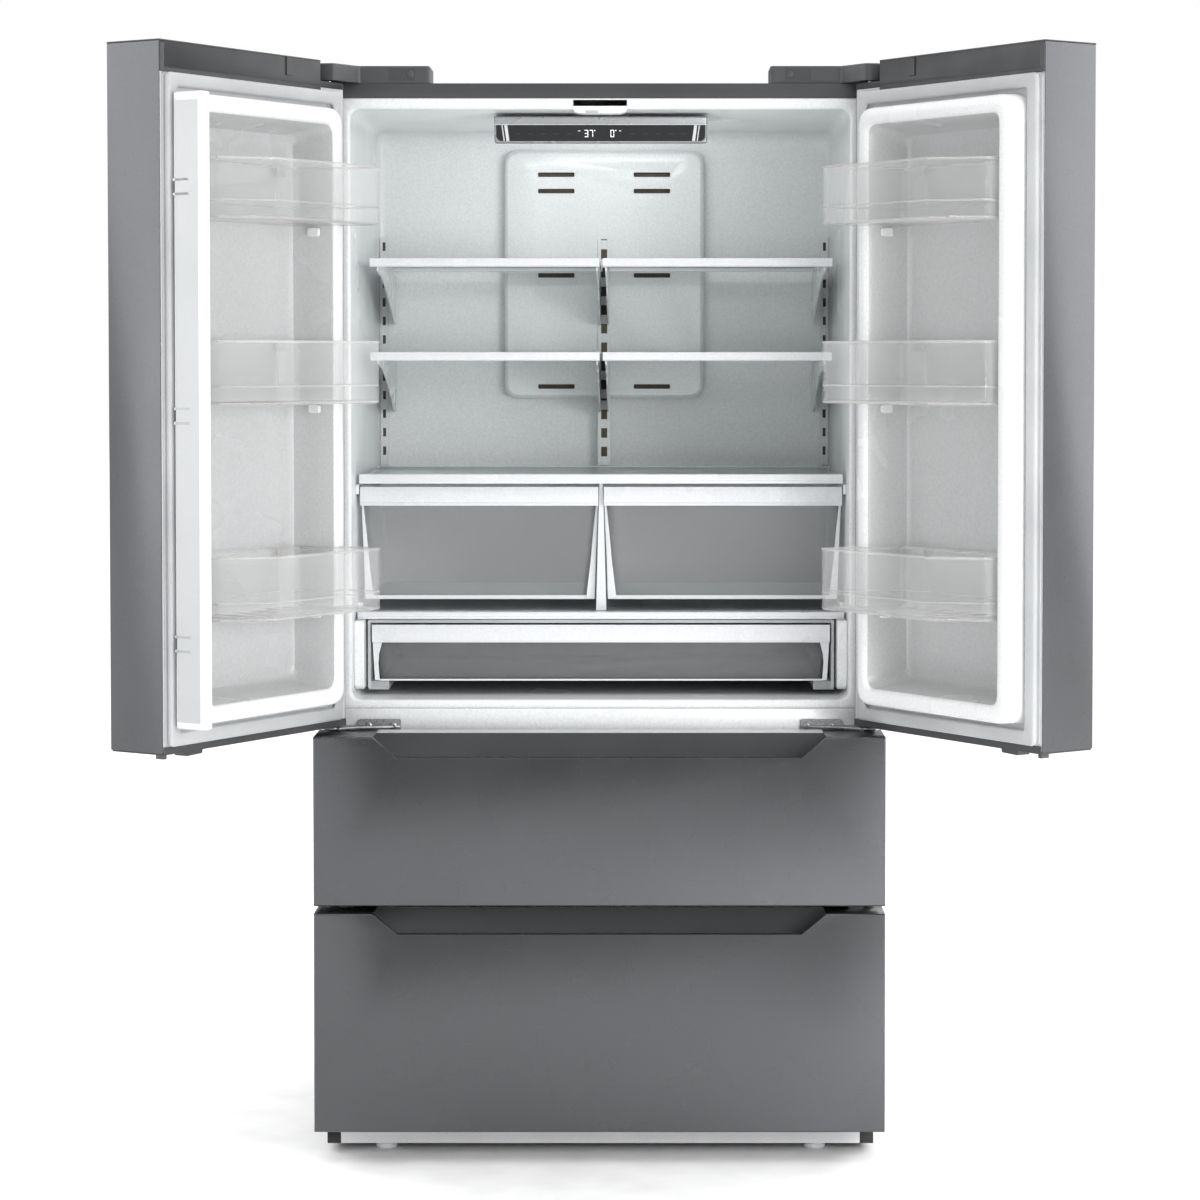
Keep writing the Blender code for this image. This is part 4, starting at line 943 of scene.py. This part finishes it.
def mullion():
    """The folding bar's steel plate, end blocks, closing edge and hinge leaves."""
    refined("flipper_mullion", ("door_liner",), 0.0008)
    front = MULLION.y - 0.01
    shape = Shape()
    shape.round_box("Y", (-0.0235, 0.743), (0.0205, 1.668), front + 0.001, front - 0.0003, 0.003, 0, 0.0002)
    shape.make("mullion_plate", "flipper", ("mullion_plate",))
    shape = Shape()
    low, high = (-0.0262, front + 0.001), (0.0262, front + 0.019)
    shape.round_box("Z", low, high, 1.679, 1.6806, 0.004, 0, 0.0005)
    shape.round_box("Z", low, high, 0.735, 0.733, 0.004, 0, 0.0005)
    shape.box(-0.024, 0.0262, front - 0.0002, front + 0.002, 1.67, 1.679)
    shape.make("mullion_end_blocks", "flipper", ("door_liner",), 0.0006)
    shape = Shape()
    for level in LEAF_LEVELS:
        for lift in (-0.0128, 0.0086):
            foot, top = level + lift, level + lift + 0.0042
            low, high = (-0.0275, front - 0.0003), (0.003, front + 0.0008)
            shape.round_box("Z", low, high, foot, top, 0.0006)
            shape.turn("Z", (MULLION.x, MULLION.y), [(foot, 0.0043), (top, 0.0043)], 18)
    shape.make("mullion_hinge_leaves", "flipper", ("satin_steel",), 0.0003)


def doors():
    border = (0.0063, 0.7045, 0.4325, 1.7115)
    inner = (0.0293, 0.7265, 0.4125, 1.69)
    for word, side in SIDES:
        body = f"{word}_door"
        door_caps(word, side, body)
        liner_panel(word, side, body)
        seal(
            f"{word}_door_gasket_finish", body, side, border, inner, PANEL - 0.0006, FACE - 0.0006,
            (f"{word}_door_gasket",),
        )
        for level, foot, top in BINS:
            door_bin(word, side, body, level, foot, top)
    mullion()


# ---------------------------------------------------------------- drawers


def drawers():
    """Fronts with finger pulls whose insides are dark plastic deepened with painted shade, seals, inner
    panels and baskets with rolled rims.
    """
    for word, foot, top, rim_top, back in DRAWERS:
        body = f"{word}_drawer"

        def pick(centre, normal, top=top):
            lined_and_shaded = 0.0119 < centre.y < 0.061 and abs(centre.x) < 0.3605
            return 1 if lined_and_shaded and centre.z < top - 0.0005 else 0

        # The pull scoop's inside faces take the darker look: dark plastic plus painted shade.
        refined(f"{word}_drawer_front", ("dark_steel", "pull_lining_and_shade"), 0.0005, 2, pick)
        shape = Shape()
        shape.box(-0.359, 0.359, 0.0122, 0.015, top - 0.0352, top - 0.033, 0)
        shape.box(-0.359, 0.359, 0.0606, PANEL - 0.002, top - 0.0002, top + 0.0004, 2)
        looks = ("dark_steel", "pull_lining_and_shade", "flange_grey")
        shape.make(f"{word}_pull_lining_and_shade", body, looks, 0.0003, 1)
        outer = (-0.427, foot + 0.012, 0.427, top - 0.012)
        inner = (-0.407, foot + 0.032, 0.407, top - 0.032)
        seal(f"{word}_drawer_seal", body, 1, outer, inner, PANEL + 0.0001, FACE - 0.0008)
        shape = Shape()
        low, high = (-0.4, foot + 0.04), (0.4, top - 0.04)
        shape.round_box("Y", low, high, PANEL + 0.0002, PANEL + 0.006, 0.014, 0, 0.002)
        shape.make(f"{word}_drawer_inner_panel", body, ("door_liner",))

        def metal(centre, normal):
            return 1 if abs(centre.x) > 0.36 and abs(normal.z) < 0.9 and centre.y > 0.1042 else 0

        refined(f"{word}_drawer_basket", ("basket", "zinc"), 0.0008, 2, metal)
        for side_word, _ in SIDES:
            refined(f"{word}_slide_{side_word}_member", ("zinc",), 0.0003, 1)
        rim = Shape()
        outline = softened(rectangle((-0.362, 0.126), (0.362, back)), 0.02, 6)
        lip = [(rim_top - 0.006, 0.0), (rim_top - 0.006, -0.0035), (rim_top + 0.001, -0.0035)]
        lip += [(rim_top + 0.0016, -0.002), (rim_top + 0.0016, 0.003), (rim_top + 0.0004, 0.0034)]
        rim.loft([raised("Z", z, inset(outline, depth)) for z, depth in lip], closed=True)
        rim.make(f"{word}_basket_rim", body, ("basket",), angle=40)


# ---------------------------------------------------------------- freezer and machine room


def evaporator_cover():
    """The freezer's rear panel, with rows of vents above and below."""
    shape = Shape()
    shape.round_box("Y", (-0.3, 0.345), (0.3, 0.655), 0.5996, 0.593, 0.016, 0, 0.003)
    for level in (0.6, 0.62, 0.38, 0.4):
        for middle in (-0.18, 0.0, 0.18):
            low, high = (middle - 0.06, level), (middle + 0.06, level + 0.008)
            shape.prism("Y", softened(rectangle(low, high), 0.003), 0.5932, 0.5924, 1)
    shape.make("evaporator_cover", "cabinet", ("white_liner", "slot_shadow"), angle=40)


def fan_frame(name, axis, centre, level, hole, half, deep):
    """A square frame with a bell mouth and three spokes behind the blades."""
    shape = Shape()
    sides = 32
    ring = circle(centre, hole, sides)
    outline = []
    for a, b in ring:
        grow = half / max(abs(a - centre[0]), abs(b - centre[1]))
        outline.append((centre[0] + (a - centre[0]) * grow, centre[1] + (b - centre[1]) * grow))
    wide = circle(centre, hole + 0.004, sides)
    levels = ((level, outline), (level + deep, outline), (level + deep, wide), (level + deep * 0.4, ring))
    shape.loft([raised(axis, z, loop) for z, loop in levels] + [raised(axis, level, ring)], closed=True)
    for step in range(3):
        angle = math.radians(30 + 120 * step)
        along = Vector((math.cos(angle), math.sin(angle)))
        across = Vector((-along.y, along.x)) * 0.003
        middle = Vector(centre)
        spoke = [middle - across, middle + across]
        spoke += [middle + along * hole + across, middle + along * hole - across]
        shape.prism(axis, [tuple(p) for p in spoke], level, level + 0.002)
    shape.turn(axis, centre, [(level, hole * 0.26), (level + 0.004, hole * 0.24)], 20)
    shape.make(name, "cabinet", ("black_plastic",), 0.0004, 1)


def fins(name, levels, low, high):
    """Thin plates across a coil, one at each level."""
    shape = Shape()
    for x in levels:
        shape.box(x, x + FIN, low[0], high[0], low[1], high[1])
    shape.make(name, "cabinet", ("zinc",))


def machinery():
    refined("compressor", ("black_plastic",), 0.001)
    refined("condenser_coil", ("copper",))
    refined("evaporator_coil", ("copper",))
    refined("condenser_fan_rotor", ("black_plastic",))
    refined("evaporator_fan_rotor", ("black_plastic",))
    evaporator_cover()
    fan_frame("condenser_fan_shroud", "X", (0.625, 0.16), -0.062, 0.082, 0.09, 0.03)
    fan_frame("evaporator_fan_shroud", "Y", (0.0, 0.6), 0.668, 0.05, 0.06, 0.012)
    fins("condenser_fins", [-0.385 + 0.0065 * n for n in range(38)], (0.572, 0.072), (0.668, 0.238))
    fins("evaporator_fins", [-0.3 + 0.0125 * n for n in range(49)], (0.624, 0.362), (0.676, 0.528))
    shape = Shape()
    shape.round_box("Z", (0.105, 0.54), (0.15, 0.556), 0.11, 0.165, 0.003, 0, 0.001)
    shape.turn("Z", (0.19, 0.625), [(0.2245, 0.018), (0.229, 0.016), (0.231, 0.008)], 24, 1)
    for x, y in ((0.105, 0.585), (0.105, 0.665), (0.275, 0.585), (0.275, 0.665)):
        shape.turn("Z", (x, y), [(0.059, 0.0075), (0.064, 0.0075), (0.066, 0.0045)], 16, 1)
    shape.make("compressor_fittings", "cabinet", ("black_plastic", "zinc"), angle=40)


# ---------------------------------------------------------------- studio


def floor():
    made = finish(
        "studio_floor", None, (0.93, 0.93, 0.93), (0.95, 0.95, 0.95), 0.4, (0.75, 0.85), 9.0, 0.00002
    )
    mesh = bpy.data.meshes.new("studio_floor")
    reach = 40.0
    corners = [(-reach, -reach, 0.0), (reach, -reach, 0.0), (reach, reach, 0.0), (-reach, reach, 0.0)]
    mesh.from_pydata(corners, [], [(0, 1, 2, 3)])
    mesh.materials.append(made.material)
    obj = bpy.data.objects.new("studio_floor", mesh)
    bpy.context.scene.collection.objects.link(obj)


def lamp(name, place, target, size, watts, colour=(1.0, 1.0, 1.0)):
    data = bpy.data.lights.new(name, "AREA")
    data.shape = "RECTANGLE"
    data.size, data.size_y = size
    data.energy = watts
    data.color = colour
    obj = bpy.data.objects.new(name, data)
    obj.location = place
    obj.rotation_euler = (Vector(target) - Vector(place)).to_track_quat("-Z", "Y").to_euler()
    bpy.context.scene.collection.objects.link(obj)
    return obj


def studio_sky():
    """White to the eye; as light it is dimmer ahead and to the left, and brighter off to both sides."""
    world = bpy.data.worlds.new("studio")
    world.use_nodes = True
    tree = world.node_tree
    backdrop = tree.nodes["Background"]
    backdrop.inputs["Color"].default_value = (1.0, 1.0, 1.0, 1.0)

    def node(kind, inputs, **settings):
        made = tree.nodes.new(kind)
        for key, value in settings.items():
            setattr(made, key, value)
        for key, value in inputs.items():
            if isinstance(value, bpy.types.NodeSocket):
                tree.links.new(value, made.inputs[key])
            else:
                made.inputs[key].default_value = value
        return made.outputs[0]

    def ramp(value, low, high, start, end):
        spans = {"Value": value, "From Min": low, "From Max": high, "To Min": start, "To Max": end}
        return node("ShaderNodeMapRange", spans, interpolation_type="SMOOTHSTEP")

    def total(*values):
        sum_ = values[0]
        for value in values[1:]:
            sum_ = node("ShaderNodeMath", {0: sum_, 1: value}, operation="ADD")
        return sum_

    place = tree.nodes.new("ShaderNodeTexCoord").outputs["Generated"]
    split = tree.nodes.new("ShaderNodeSeparateXYZ")
    tree.links.new(place, split.inputs[0])
    across, up = split.outputs["X"], split.outputs["Z"]
    far = node("ShaderNodeMath", {0: across}, operation="ABSOLUTE")
    above = ramp(up, 0.25, 0.9, 0.0, 1.05)
    soft = total(ramp(across, -0.6, 0.6, 0.5, 0.66), above)
    glossy = total(ramp(across, -0.15, 0.25, 0.22, 1.1), ramp(far, 0.35, 0.95, 0.0, 2.6), above)
    path = tree.nodes.new("ShaderNodeLightPath")
    lit = node("ShaderNodeMix", {0: path.outputs["Is Glossy Ray"], 2: soft, 3: glossy})
    mixed = node("ShaderNodeMix", {0: path.outputs["Is Camera Ray"], 2: lit, 3: 1.0})
    tree.links.new(mixed, backdrop.inputs["Strength"])
    return world


def studio():
    scene = bpy.context.scene
    scene.view_settings.view_transform = "Standard"
    scene.world = studio_sky()
    lamp("key", (3.2, -6.0, 1.5), (0.0, 0.0, 0.8), (3.4, 2.6), 36.0)
    lamp("fill", (-3.4, -2.6, 1.3), (-0.5, 0.0, 0.9), (2.2, 2.2), 11.0, (0.96, 0.98, 1.0))
    lamp("wash", (1.9, -2.6, 1.3), (0.9, -2.3, 0.0), (1.2, 1.2), 55.0)
    lamp("left_floor_wash", (-2.6, 1.4, 1.5), (-2.6, 1.4, 0.0), (1.6, 1.6), 60.0)
    lamp("right_floor_wash", (2.6, 1.4, 1.5), (2.6, 1.4, 0.0), (1.6, 1.6), 70.0)
    lamp("ceiling_lamp", (0.0, 0.12, 1.672), (0.0, 0.42, 1.4), (0.3, 0.03), 0.4)


def camera():
    """A long lens 4.9 m before the drawer fronts, looking two degrees down."""
    data = bpy.data.cameras.new("camera")
    data.lens = 92.776
    data.sensor_width = 36.0
    data.shift_x = -0.0374
    data.shift_y = -0.1107
    obj = bpy.data.objects.new("camera", data)
    obj.location = (0.0723, -4.8918 - SETBACK, 1.2845)
    obj.rotation_euler = (math.radians(88), 0.0, 0.0)
    bpy.context.scene.collection.objects.link(obj)
    bpy.context.scene.camera = obj


make_looks()
camera()
cabinet()
hinge_covers()
fridge_liner()
control_panel()
guide_block()
duct()
tracks()
half_shelves()
cover_shelves()
crispers()
deli()
doors()
drawers()
machinery()
floor()
studio()
